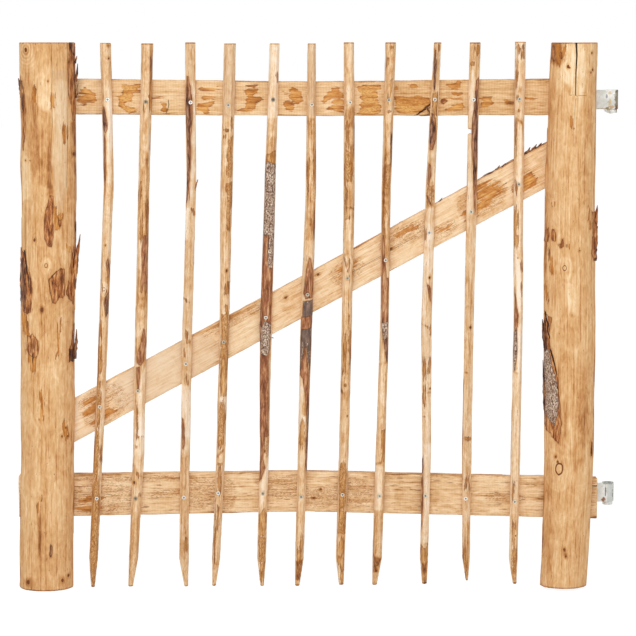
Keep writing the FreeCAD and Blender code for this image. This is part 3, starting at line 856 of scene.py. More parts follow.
@dataclass(frozen=True)
class Crack:
    """A crack along a few places (across, along), opening towards its first one."""

    places: tuple[Pair, ...]
    width: float
    end_width: float = 0.8
    depth: float = 1.2
    # How dark the painted shade inside the crack is.
    darkness: float = 1.0

    # Where it fades out past its ends and to its sides, and how far its groove spreads.
    END_FADE, SIDE_FADE = (0.5, 3.0), (4.0, 6.5)
    SPREAD, LEAST_SPREAD = 0.6, 1.6

    def measure(self, across: Array, along: Array) -> tuple[Array, Array, Array]:
        """Measure every point against the crack.

        Args:
            across: Places across the piece.
            along: Places along the piece.

        Returns:
            Signed distance in half widths, reach from 0 to 1, and depth in millimetres.
        """
        nearest = np.full(len(across), np.inf)
        signed, total = np.zeros(len(across)), np.zeros(len(across))
        legs = list(zip(self.places, self.places[1:]))
        for number, (start, end) in enumerate(legs):
            beside, beyond, length = measure_leg(start, end, across, along)
            overrun = np.maximum(np.maximum(-beyond, beyond - length), 0.0)
            gap = np.hypot(beside, overrun)
            share = (number + np.clip(beyond / length, 0.0, 1.0)) / len(legs)
            half = (self.width + (self.end_width - self.width) * share) / 2
            closer = gap < nearest
            nearest = np.where(closer, gap, nearest)
            signed = np.where(closer, beside / half, signed)
            total = np.where(closer, 1.0 - soft_step(overrun, *self.END_FADE), total)
        total = total * (1.0 - soft_step(nearest, *self.SIDE_FADE))
        spread = max(self.SPREAD * self.width, self.LEAST_SPREAD)
        groove = self.depth * np.exp(-(nearest / spread) ** 2)
        return np.clip(signed, -CRACK_FAR, CRACK_FAR), total * self.darkness, groove * total


@dataclass(frozen=True)
class Knot:
    """A knot: its place, its radius, how far it stands out, and whether it is a cut stub.

    The grain sways round it, and ripples may run out from it for so many radii.
    """

    across: float
    along: float
    radius: float
    raised: float = 0.8
    ring: float = 0.0
    sway: float = 3.2
    squeeze: float = 0.7
    ripples: float = 0.0

    # Lengths are in radii: of a ripple, and across the groove round the knot.
    RIPPLE_TONE, RIPPLE_LENGTH = 0.9, 1.5
    SWELL, RIM_DEPTH, RIM_WIDTH = 0.35, 0.5, 0.3

    def ripple(self, reach: Array) -> Array:
        """Tone of the ripples at a distance in radii."""
        if not self.ripples:
            return np.zeros(len(reach))
        waves = np.sin(math.tau * reach / self.RIPPLE_LENGTH)
        return self.RIPPLE_TONE * waves * np.exp(-(reach / self.ripples) ** 2)

    def bend(self, side: Array, rise: Array) -> Array:
        """How far the grain is pushed aside, at a distance across and along."""
        spread = self.sway * self.radius
        push = self.radius * np.tanh(side / self.radius)
        return push * np.exp(-(rise / spread) ** 2 - (side / (1.2 * spread)) ** 2)


@dataclass(frozen=True)
class Splinter:
    """A strip of loose bark that stands off the wood and ends in a point.

    Its places are (across, depth, along) in the wood, in millimetres, from its root on.
    """

    places: tuple[Triple, ...]
    width: float
    kind: Kind = Kind.DARK
    thickness: float = 1.2

    # Power of its taper, share of its ragged width, bend across, and waves in millimetres.
    TAPER, RAGGED, CURL, FLUTTER = 1.8, 0.7, 2.0, 0.8
    ROWS, COLUMNS = 24, 4
    INSIDE = 6.0

    def build(self, wood: "WoodPiece", seed: int) -> Piece:
        """Shape a grid into the strip and thicken it.

        Args:
            wood: The piece that the strip grows from.
            seed: Seed of its ragged outline.

        Returns:
            The strip, with what the wood's finish reads.
        """
        bpy.ops.mesh.primitive_grid_add(x_subdivisions=self.COLUMNS,
                                        y_subdivisions=self.ROWS, size=1.0)
        piece = bpy.context.active_object
        mesh = piece.data
        side, share, _ = points_of(mesh).T * MM
        share = share + 0.5
        steps = np.linspace(0.0, 1.0, len(self.places))
        local = np.column_stack([np.interp(share, steps, line)
                                 for line in np.array(self.places).T])
        noise = Noise(seed)
        ragged = noise.at(local + 40.0 * side[:, None], (6.0, 6.0, 4.0))
        local[:, 0] += (side * self.width * (1.0 - share ** self.TAPER)
                        * (1.0 + self.RAGGED * ragged))
        local[:, 1] -= self.CURL * self.width * side ** 2
        local[:, 1] += self.FLUTTER * noise.at(local, (4.0, 4.0, 9.0))
        put_points(mesh, np.array([wood.place(*place) for place in local]))
        modify(piece, "SOLIDIFY", thickness=self.thickness * MM, offset=0.0)
        modify(piece, "SUBSURF", levels=1, render_levels=1)
        local = wood.unplace(points_of(mesh))
        blank = Channels(len(local))
        blank.bark += self.INSIDE + FAR
        blank.kind += self.kind.value.bark
        blank.store(mesh, local, np.zeros(len(local)), wood.seed)
        smooth(mesh)
        return piece


def marks(*groups: tuple[Kind | tuple[float, ...], ...]) -> tuple[Mark | Patch, ...]:
    """The marks on one piece.

    Args:
        *groups: A kind of mark each, then its shapes in millimetres.  Four numbers are a
            streak straight along the wood: its place across, its two ends and its width.
            Five are a spindle: both ends, across and along, and its width.  More are the
            places of an outline, across and along in turn.

    Returns:
        The marks, in their order.
    """
    found = []
    for kind, *shapes in groups:
        for shape in shapes:
            if len(shape) == 4:
                across, start, end, width = shape
                found.append(Mark(kind, (across, start), (across, end), width))
            elif len(shape) == 5:
                found.append(Mark(kind, shape[:2], shape[2:4], shape[4]))
            else:
                found.append(Patch(kind, tuple(zip(shape[::2], shape[1::2]))))
    return tuple(found)


# ----- Wooden pieces -----

@dataclass(frozen=True)
class Grain:
    """The direction of the wood in the plane of the leaf, and the one across it."""

    slope: float = 90.0

    @property
    def along(self) -> Array:
        """Unit vector along the wood."""
        turn = math.radians(self.slope)
        return np.array((math.cos(turn), 0.0, math.sin(turn)))

    @property
    def across(self) -> Array:
        """Unit vector across the wood: to the right of a post, upwards on a board."""
        turn = math.radians(self.slope)
        sign = -1.0 if self.slope >= 90.0 else 1.0
        return sign * np.array((-math.sin(turn), 0.0, math.cos(turn)))


@dataclass(frozen=True)
class Roughness:
    """Relief of a wooden surface: height and wave lengths across and along the wood."""

    lumps: Triple = (1.5, 50.0, 85.0)
    facets: Triple = (0.6, 17.0, 60.0)
    flutes: Triple = (0.3, 7.0, 90.0)
    fibres: Triple = (0.15, 4.0, 22.0)

    # The share of each wave by which the surface is lowered, so that it keeps its size.
    SINK = 0.25

    def relief(self, noise: Noise, local: Array) -> Array:
        """The relief at each point, given as (across, depth, along)."""
        total = np.zeros(len(local))
        for height, across, along in (self.lumps, self.facets, self.flutes, self.fibres):
            total += height * (noise.at(local, (across, across, along)) - self.SINK)
        return total


@dataclass(frozen=True)
class ScrewSeat:
    """The middle of a sunk screw head's face, and +1 or -1 for the side that it faces."""

    place: Array
    facing: float


class Channels:
    """What marks, cracks and knots do at each point of a piece."""

    # How far the figure moves along the wood from seed to seed, and after how many it repeats.
    FIGURE_SHIFT, FIGURES = 3100.0, 17

    def __init__(self, count: int, tone: float = 0.0) -> None:
        """Start with bare wood of one tone."""
        self.bark, self.stain = np.full(count, -FAR), np.full(count, -FAR)
        self.crack, self.knot = np.full(count, CRACK_FAR), np.full(count, KNOT_FAR)
        self.tone = np.full(count, tone)
        for name in ("kind", "flaming", "greyness", "stipple", "cut", "raised", "reach",
                     "groove", "ring", "warp"):
            setattr(self, name, np.zeros(count))

    def add_mark(self, effect: Effect, reach: Array, ragged: Array) -> None:
        """Add a mark.

        Args:
            effect: What the mark does.
            reach: Distance inside its outline.
            ragged: How far its relief stands out there, as a share of the whole.
        """
        inside = soft_step(reach, *OUTLINE)
        if effect.bark is not None:
            self.kind += (effect.bark - self.kind) * inside
            self.bark = np.maximum(self.bark, reach)
            self.raised = np.maximum(self.raised, effect.raised * ragged * inside)
        for name in ("flaming", "greyness", "stipple"):
            value, total = getattr(effect, name), getattr(self, name)
            if value or effect.stain:
                total += (value - total) * inside
        if effect.stain:
            self.stain = np.maximum(self.stain, reach)

    def add_crack(self, crack: Crack, local: Array, seen: Array) -> None:
        """Add the distance from a crack, its reach and its groove.

        Args:
            crack: The crack.
            local: Places across, into and along the wood.
            seen: 1 on the side that carries it, 0 on the other.
        """
        signed, reach, groove = crack.measure(local[:, 0], local[:, 2])
        reach, groove = reach * seen, groove * seen
        closer = reach > self.reach
        self.crack = np.where(closer, signed, self.crack)
        self.reach = np.where(closer, reach, self.reach)
        self.groove = np.maximum(self.groove, groove)

    def add_knot(self, knot: Knot, local: Array, least_depth: float) -> None:
        """Add the distance from a knot, its swelling and the grain's bend.

        Args:
            knot: The knot.
            local: Places across, into and along the wood.
            least_depth: How far behind the front the knot starts.
        """
        side, rise = local[:, 0] - knot.across, local[:, 2] - knot.along
        reach = np.hypot(side, knot.squeeze * rise) / knot.radius
        reach = np.where(local[:, 1] > least_depth, reach, KNOT_FAR)
        self.tone += knot.ripple(reach)
        self.ring = np.where(reach < self.knot, knot.ring, self.ring)
        self.knot = np.minimum(self.knot, reach)
        self.raised += knot.raised * np.exp(-knot.SWELL * reach ** 2)
        rim = np.exp(-((reach - 1.0) / knot.RIM_WIDTH) ** 2)
        self.groove += knot.RIM_DEPTH * knot.raised * rim
        self.warp -= knot.bend(side, rise)

    def store(self, mesh: Mesh, local: Array, edge: Array, seed: int) -> None:
        """Keep what the finish reads as attributes of the mesh.

        Args:
            mesh: The mesh to keep them on.
            local: Places across, into and along the wood.
            edge: Places between the edges, from -1 to 1.
            seed: The piece's seed, which shifts its figure.
        """
        grain = local.copy()
        grain[:, 0] += self.warp
        grain[:, 2] += self.FIGURE_SHIFT * (seed % self.FIGURES)
        vector, four = ("FLOAT_VECTOR", "vector"), ("FLOAT_COLOR", "color")
        for name, (kind, key), values in (
                ("grain", vector, grain.T * MM),
                ("marks", four, (self.bark, self.kind, self.stain, self.reach)),
                ("lines", four, (self.crack, edge, self.stipple, self.greyness)),
                ("figure", four, (self.knot, self.ring, self.tone, self.flaming))):
            layer = mesh.attributes.new(name, kind, "POINT")
            layer.data.foreach_set(key, np.column_stack(values).astype(np.float32).ravel())


@dataclass
class WoodPiece:
    """A wooden sub-part, meshed finely from its solid and marked as it grew."""

    node: str
    finish: str
    slot: str
    seed: int
    voxel: float
    grain: Grain = Grain()
    roughness: Roughness = Roughness()
    marks: tuple[Mark | Patch, ...] = ()
    cracks: tuple[Crack, ...] = ()
    knots: tuple[Knot, ...] = ()
    splinters: tuple[Splinter, ...] = ()
    bark_share: float = 1.0
    ragged: float = 1.3
    softness: float = 4.5
    tone: float = 0.0
    wander: float = 0.0
    is_board: bool = False
    origin: Array = field(default_factory=lambda: np.zeros(2))
    centre_line: Array = field(default_factory=lambda: np.zeros((2, 1)))

    # Length of the slices whose middles give the centre line, and how many are averaged.
    SLICE, SMOOTHING = 8.0, 5
    # Waves that fray outlines: two across the wood and one along it.
    COARSE_FRAY, FINE_FRAY, LONG_FRAY = (9.0, 9.0, 26.0), (4.0, 4.0, 11.0), (5.0, 5.0, 7.0)
    # Facings between which a surface counts as the back or an end, and how they are held.
    BACK_FADE, BACK_HOLD = (-0.5, -0.1), 3.0
    END_FADE, END_HOLD = (0.75, 0.95), 0.85
    # A knot on round wood shows only further back than this.
    KNOT_DEPTH = 2.0
    # How far round and behind a screw's face the wood gives way, and by how much.
    SEAT_RADIUS, SEAT_REACH, SEAT_DEPTH = 4.0, 3.5, 1.4
    # Height of the darker rims at the top and the foot, and their tones.
    TOP_RIM, TOP_TONE = 1.8, 1.8
    FOOT_RIM, FOOT_TONE = 2.6, 1.6
    WANDER_WAVE = 110.0
    STRIP_SEED = 60

    def build(self, seats: list[ScrewSeat], limits: Array) -> Piece:
        """Make the piece.

        Args:
            seats: Every sunk screw head of the gate.
            limits: Lowest and highest corner of the whole gate, in millimetres.

        Returns:
            The finished object, without its material.
        """
        piece = merged_copy(self.node, "worn_" + self.node)
        modify(piece, "REMESH", mode="VOXEL", voxel_size=self.voxel * MM)
        mesh = piece.data
        points, normals = points_of(mesh), rows_of(mesh.vertex_normals, "vector")
        noise = Noise(self.seed)
        local, half_width = self.localise(points)
        channels = self.read_wood(local, self.front_share(normals), noise)
        relief = self.roughness.relief(noise, local) + channels.raised - channels.groove
        moved = points + normals * (relief * self.freedom(points, normals))[:, None]
        shift = channels.cut
        if self.wander:
            heights = local * (0.0, 0.0, 1.0)
            shift = shift + self.wander * noise.at(heights, (1.0, 1.0, self.WANDER_WAVE))
        moved += self.grain.across[None, :] * shift[:, None]
        self.seat_screws(moved, normals, seats)
        put_points(mesh, np.clip(moved, limits[0], limits[1]))
        if not self.is_board:
            along = local[:, 2]
            channels.tone += self.TOP_TONE * (along > along.max() - self.TOP_RIM)
            channels.tone += self.FOOT_TONE * (along < self.FOOT_RIM)
        channels.store(mesh, local, local[:, 0] / half_width, self.seed)
        smooth(mesh)
        strips = [splinter.build(self, self.STRIP_SEED + number)
                  for number, splinter in enumerate(self.splinters)]
        if strips:
            join(piece, *strips)
            put_points(mesh, np.clip(points_of(mesh), limits[0], limits[1]))
        return piece

    def localise(self, points: Array) -> tuple[Array, Array]:
        """Find every point's place in the wood.

        Args:
            points: The points, in millimetres.

        Returns:
            Places across, into and along the wood, and the wood's half width there.
        """
        along = points @ self.grain.along
        start = along.min()
        along = along - start
        across = points @ self.grain.across
        slices = (along / self.SLICE).astype(int)
        count = slices.max() + 1
        low, high = np.full(count, np.inf), np.full(count, -np.inf)
        np.minimum.at(low, slices, across)
        np.maximum.at(high, slices, across)
        kernel = np.ones(self.SMOOTHING) / self.SMOOTHING
        middle, half = (
            np.convolve(np.pad(line, self.SMOOTHING // 2, mode="edge"), kernel, mode="valid")
            for line in ((low + high) / 2, (high - low) / 2))
        steps = (np.arange(count) + 0.5) * self.SLICE
        self.centre_line = np.vstack((steps, middle))
        self.origin = np.array((start, points[:, 1].max()))
        return self.unplace(points), np.interp(along, steps, half)

    def place(self, across: float, depth: float, along: float) -> Array:
        """A place in the wood as a place in the gate, in millimetres."""
        side = across + np.interp(along, *self.centre_line)
        return (self.grain.across * side + self.grain.along * (along + self.origin[0])
                + np.array((0.0, self.origin[1] - depth, 0.0)))

    def unplace(self, points: Array) -> Array:
        """Places in the gate as places across, into and along the wood."""
        along = points @ self.grain.along - self.origin[0]
        across = points @ self.grain.across - np.interp(along, *self.centre_line)
        return np.column_stack((across, self.origin[1] - points[:, 1], along))

    def front_share(self, normals: Array) -> Array:
        """1 where a point belongs to the round side of the wood, 0 on its flat back."""
        if self.is_board:
            return np.ones(len(normals))
        return soft_step(-normals[:, 1], *self.BACK_FADE)

    def freedom(self, points: Array, normals: Array) -> Array:
        """How freely the surface may move: not at all where pieces lie against each other.

        Args:
            points: The piece's points.
            normals: Their normals.

        Returns:
            A share from 0 to 1 for each point.
        """
        if self.is_board:
            return np.clip(1.0 - np.abs(normals[:, 1]) * 1.05, 0.0, 1.0)
        behind = points[:, 1].max() - points[:, 1]
        ends = soft_step(np.abs(normals @ self.grain.along), *self.END_FADE)
        return np.clip(behind / self.BACK_HOLD, 0.0, 1.0) * (1.0 - self.END_HOLD * ends)

    def read_wood(self, local: Array, seen: Array, noise: Noise) -> Channels:
        """Gather all marks, cracks and knots.

        Args:
            local: Places across, into and along the wood.
            seen: 1 on the side that carries them, 0 on the other.
            noise: The piece's own noise, which frays outlines.

        Returns:
            What they do at each point.
        """
        channels = Channels(len(local), self.tone)
        ragged = noise.at(local, self.COARSE_FRAY) + 0.6 * noise.at(local, self.FINE_FRAY)
        across = local[:, 0] + self.ragged * ragged
        along = local[:, 2] + 2.0 * self.ragged * noise.at(local, self.LONG_FRAY)
        for mark in self.marks:
            effect = mark.kind.value
            distance = mark.reach(across, along)
            reach = np.clip(distance, -FAR, FAR) * seen - FAR * (1.0 - seen)
            channels.add_mark(effect, reach, self.bark_share * (1.0 + 0.4 * ragged))
            channels.tone += effect.tone * soft_step(reach, -self.softness, self.softness)
            if effect.cut:
                side = np.sign(mark.start[0])
                depth = mark.width / 2 - abs(mark.start[0]) + side * local[:, 0]
                share = soft_step(distance, *OUTLINE)
                channels.cut -= side * effect.cut * share * np.maximum(depth, 0.0)
        for crack in self.cracks:
            channels.add_crack(crack, local, seen)
        for knot in self.knots:
            channels.add_knot(knot, local, -np.inf if self.is_board else self.KNOT_DEPTH)
        return channels

    def seat_screws(self, points: Array, normals: Array, seats: list[ScrewSeat]) -> None:
        """Press the wood back round each sunk screw head that lies in this piece.

        Args:
            points: The piece's points, which are changed.
            normals: Their normals.
            seats: Every sunk screw head of the gate.
        """
        for seat in seats:
            gap = points - seat.place
            near = np.hypot(gap[:, 0], gap[:, 2]) < self.SEAT_RADIUS
            near &= np.abs(gap[:, 1]) < self.SEAT_REACH
            near &= normals[:, 1] * seat.facing > 0.3
            points[near, 1] = seat.place[1] - self.SEAT_DEPTH * seat.facing


# ----- Hardware -----

def island_boxes(node: str) -> list[tuple[Array, Array]]:
    """Measure the separate solids in a CAD node.

    Args:
        node: The node's name.

    Returns:
        Each solid's lowest and highest corner in millimetres, from left to right.
    """
    merged_copy(node, "islands_" + node)
    with editing():
        bpy.ops.mesh.select_all(action="SELECT")
        bpy.ops.mesh.separate(type="LOOSE")
    boxes = []
    for part in list(bpy.context.selected_objects):
        points = points_of(part.data)
        boxes.append((points.min(axis=0), points.max(axis=0)))
        bpy.data.objects.remove(part)
    return sorted(boxes, key=lambda box: (box[0][0], box[0][2]))


class Head(Enum):
    """The kinds of screw heads."""

    SUNK = "sunk"
    DOMED = "domed"
    COACH = "coach"


@dataclass(frozen=True)
class ScrewSet:
    """Copies of one screw, put wherever the solids have one.

    Facing is -1 for heads on the leaf's front and 1 for heads on its back.  A shade from -1
    to 1 paints one head darker with painted shade or lighter with a painted highlight.
    """

    node: str
    head: Head
    facing: int
    finish: str
    seed: int
    head_radius: float
    shank_radius: float
    length: float
    shades: tuple[float, ...] = ()

    # The head's sides and disc, the dome's rise in steps of height and width, and its neck.
    SIDES, DISC, DOME_RISE, NECK = 24, 0.5, 2.6, 0.3
    DOME_STEPS = ((0.9, 0.93), (0.9, 0.85), (0.8, 0.8))
    # The recess: insets as shares of the head's radius, depth, and the waves of its star.
    INSETS, RECESS, LOBES, LOBE_DEPTH = (0.32, 0.14), 0.9, 6, 0.16
    # Shares of the length that are shaft and tip, and the tip's share of the width.
    SHAFT_SHARE, TIP_SHARE, TIP_WIDTH = 0.6, 0.2, 0.3
    # How far a screw may lean, in radians.
    TILT = 0.05
    COACH_HEAD, WASHER, WASHER_RADIUS = 5.5, 1.5, 9.0

    def places(self) -> list[Array]:
        """The middle of each head's face, in millimetres."""
        found = []
        for low, high in island_boxes(self.node):
            across, _, height = (low + high) / 2
            face = low[1] if self.facing < 0 else high[1]
            found.append(np.array((across, face, height)))
        return found

    def build(self, places: list[Array]) -> Piece:
        """Model the screw once and copy it to every place.

        Args:
            places: The middle of each head's face, in millimetres.

        Returns:
            All copies as one object.
        """
        pattern = self.model_coach() if self.head is Head.COACH else self.model()
        generator = np.random.default_rng(self.seed)
        turn = Matrix.Rotation(math.radians(-90.0 * self.facing), 4, "X")
        copies = []
        for number, place in enumerate(places):
            copy = pattern.copy()
            copy.data = pattern.data.copy()
            bpy.context.scene.collection.objects.link(copy)
            spin = Matrix.Rotation(generator.uniform(0, math.tau), 4, "Z")
            tilt = Euler((generator.uniform(-self.TILT, self.TILT),
                          generator.uniform(-self.TILT, self.TILT), 0.0))
            shift = Matrix.Translation(Vector(place) * MM)
            copy.data.transform(shift @ turn @ tilt.to_matrix().to_4x4() @ spin)
            # Give each copy its painted highlight (above 0) or painted shade (below 0).
            if self.shades:
                for item in copy.data.attributes["painted_head_light"].data:
                    item.vector = (item.vector[0], self.shades[number], 0.0)
            copies.append(copy)
        bpy.data.objects.remove(pattern)
        join(*copies)
        copies[0].name = "turned_" + self.node
        bpy.ops.object.shade_smooth_by_angle(angle=math.radians(35))
        return copies[0]

    def model(self) -> Piece:
        """Model the screw upright, its head's top at Z = 0, with a star-shaped recess."""
        is_sunk = self.head is Head.SUNK
        rise = 0.0 if is_sunk else self.DOME_RISE
        piece = cylinder(self.SIDES, self.head_radius, self.DISC, -rise)
        self.pick_cap(piece, 1)
        with editing():
            for lift, share in () if is_sunk else self.DOME_STEPS:
                self.draw_out(lift, share)
            for width in self.INSETS:
                bpy.ops.mesh.inset(thickness=width * self.head_radius * MM)
        for vertex in piece.data.vertices:
            if vertex.select:
                angle = self.LOBES * math.atan2(vertex.co.y, vertex.co.x)
                vertex.co.xy *= 1.0 + self.LOBE_DEPTH * math.cos(angle)
        with editing():
            self.draw_out(-self.RECESS)
        # The recess's faces, where the finish paints shade.
        painted_head_light = piece.data.attributes.new("painted_head_light", "FLOAT_VECTOR", "POINT")
        for vertex in piece.data.vertices:
            painted_head_light.data[vertex.index].vector = (float(vertex.select), 0.0, 0.0)
        self.pick_cap(piece, -1)
        neck = self.head_radius - self.shank_radius if is_sunk else self.NECK
        with editing():
            for drop, share in ((neck, self.shank_radius / self.head_radius),
                                (self.SHAFT_SHARE * self.length, 1.0),
                                (self.TIP_SHARE * self.length, self.TIP_WIDTH)):
                self.draw_out(-drop, share)
        return piece

    def model_coach(self) -> Piece:
        """Model a coach screw: chamfered hexagon head on a round washer."""
        head = cylinder(6, self.head_radius / math.cos(math.pi / 6), self.COACH_HEAD, 0.0)
        modify(head, "BEVEL", width=0.7 * MM, segments=2, limit_method="ANGLE")
        disc = cylinder(40, self.WASHER_RADIUS, self.WASHER, -self.COACH_HEAD)
        modify(disc, "BEVEL", width=0.3 * MM, segments=2, limit_method="ANGLE")
        shank = cylinder(16, self.shank_radius, self.length, -self.COACH_HEAD - self.WASHER)
        join(head, disc, shank)
        return head

    @staticmethod
    def draw_out(lift: float, share: float = 1.0) -> None:
        """Extrude the selected faces.

        Args:
            lift: How far, in millimetres.
            share: How wide the new end is, as a share of the old one.
        """
        bpy.ops.mesh.extrude_region_move(TRANSFORM_OT_translate={"value": (0, 0, lift * MM)})
        bpy.ops.transform.resize(value=(share, share, 1))

    @staticmethod
    def pick_cap(piece: Piece, side: int) -> None:
        """Select the face at one end of the piece.

        Args:
            piece: The piece, which is the active object.
            side: 1 for its upper end and -1 for its lower one.
        """
        with editing():
            bpy.ops.mesh.select_mode(type="FACE")
            bpy.ops.mesh.select_all(action="DESELECT")
        caps = [face for face in piece.data.polygons if face.normal.z * side > 0.99]
        max(caps, key=lambda face: face.center.z * side).select = True


@dataclass(frozen=True)
class Forging:
    """A strap or a hook: its solid with the edges eased."""

    node: str
    body: str
    easing: float = 0.5

    def build(self) -> Piece:
        """Copy the solid, join its flat faces and bevel its edges."""
        piece = merged_copy(self.node, "forged_" + self.node)
        with editing():
            bpy.ops.mesh.select_all(action="SELECT")
            bpy.ops.mesh.dissolve_limited(angle_limit=math.radians(1.0))
        modify(piece, "BEVEL", width=self.easing * MM, segments=2, limit_method="ANGLE",
               angle_limit=math.radians(40))
        modify(piece, "TRIANGULATE")
        bpy.ops.object.shade_smooth_by_angle(angle=math.radians(30))
        return piece


# ----- Studio -----

@dataclass(frozen=True)
class Lamp:
    """A square soft box: its name, its place and size in millimetres, its power in watts."""

    name: str
    place: Triple
    size: float
    power: float

    def build(self, target: Triple) -> None:
        """Hang the lamp.

        Args:
            target: The place that it looks at, in millimetres.
        """
        aim = (Vector(target) - Vector(self.place)).to_track_quat("-Z", "Y").to_euler()
        bpy.ops.object.light_add(type="AREA", location=Vector(self.place) * MM, rotation=aim)
        lamp = bpy.context.active_object
        lamp.name = self.name
        lamp.data.shape = "SQUARE"
        lamp.data.size = self.size * MM
        lamp.data.energy = self.power


@dataclass(frozen=True)
class Studio:
    """White floor and surround, soft lamps and the camera; distances in millimetres."""

    camera_place: Triple = (-536.0, -5139.5, 910.0)
    camera_pitch: float = 6.32
    lens: float = 158.5
    target: Triple = (-536.0, 0.0, 350.0)
    lamps: tuple[Lamp, ...] = (
        Lamp("key_lamp", (-2300.0, -3300.0, 2600.0), 2400.0, 62.0),
        Lamp("fill_lamp", (1700.0, -3300.0, 1500.0), 2400.0, 34.0),
        Lamp("rear_lamp", (-700.0, 3000.0, 2600.0), 2600.0, 34.0),
    )
    surround: float = 0.62
    floor_centre: Pair = (-500.0, 0.0)
    floor_size: float = 40000.0
    floor_white: float = 0.8
    floor_glow: float = 1.14
    glow_share: float = 0.80

    def build(self, floor_height: float) -> None:
        """Build everything that isn't the gate.

        Args:
            floor_height: Height of the floor in millimetres.
        """
        self.build_camera()
        self.build_world()
        self.build_floor(floor_height)
        for lamp in self.lamps:
            lamp.build(self.target)
        bpy.context.scene.view_settings.view_transform = "Standard"

    def build_camera(self) -> None:
        """A long lens a little above the gate's top, tipped down."""
        bpy.ops.object.camera_add(
            location=Vector(self.camera_place) * MM,
            rotation=(math.radians(90.0 - self.camera_pitch), 0.0, 0.0))
        camera = bpy.context.active_object
        camera.name = "studio_camera"
        camera.data.lens = self.lens
        camera.data.sensor_width = 36.0
        camera.data.clip_end = 100.0
        bpy.context.scene.camera = camera

    def build_world(self) -> None:
        """White to the eye, in gloss and through glass; a plain light for the rest."""
        world = bpy.data.worlds.new("studio_world")
        bpy.context.scene.world = world
        graph = Graph(world)
        level = graph.add("MapRange", {"Value": graph.seen(), "To Min": self.surround,
                                       "To Max": 1.0}).outputs[0]
        background = graph.find("BACKGROUND")
        graph.feed(background.inputs["Color"], (1.0, 1.0, 1.0, 1.0))
        graph.feed(background.inputs["Strength"], level)

    def build_floor(self, height: float) -> None:
        """A wide white floor that keeps only a faint shadow.

        Args:
            height: Its height in millimetres.
        """
        bpy.ops.mesh.primitive_plane_add(
            size=self.floor_size * MM, location=Vector((*self.floor_centre, height)) * MM)
        floor = bpy.context.active_object
        floor.name = "studio_floor"
        bpy.ops.object.transform_apply(location=True, rotation=True, scale=True)
        graph = Graph(bpy.data.materials.new("floor_white"))
        matt = graph.add("BsdfDiffuse", {"Color": (*(self.floor_white,) * 3, 1.0)}).outputs[0]
        glow = graph.add("Emission", {"Strength": self.floor_glow}).outputs[0]
        share = graph.math("MULTIPLY", graph.seen(), self.glow_share)
        blend = graph.add("MixShader", {0: share, 1: matt, 2: glow}).outputs[0]
        graph.feed(graph.find("OUTPUT_MATERIAL").inputs["Surface"], blend)
        graph.nodes.remove(graph.find("BSDF_PRINCIPLED"))
        floor.data.materials.append(graph.owner)
        floor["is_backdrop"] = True


# ----- The gate -----

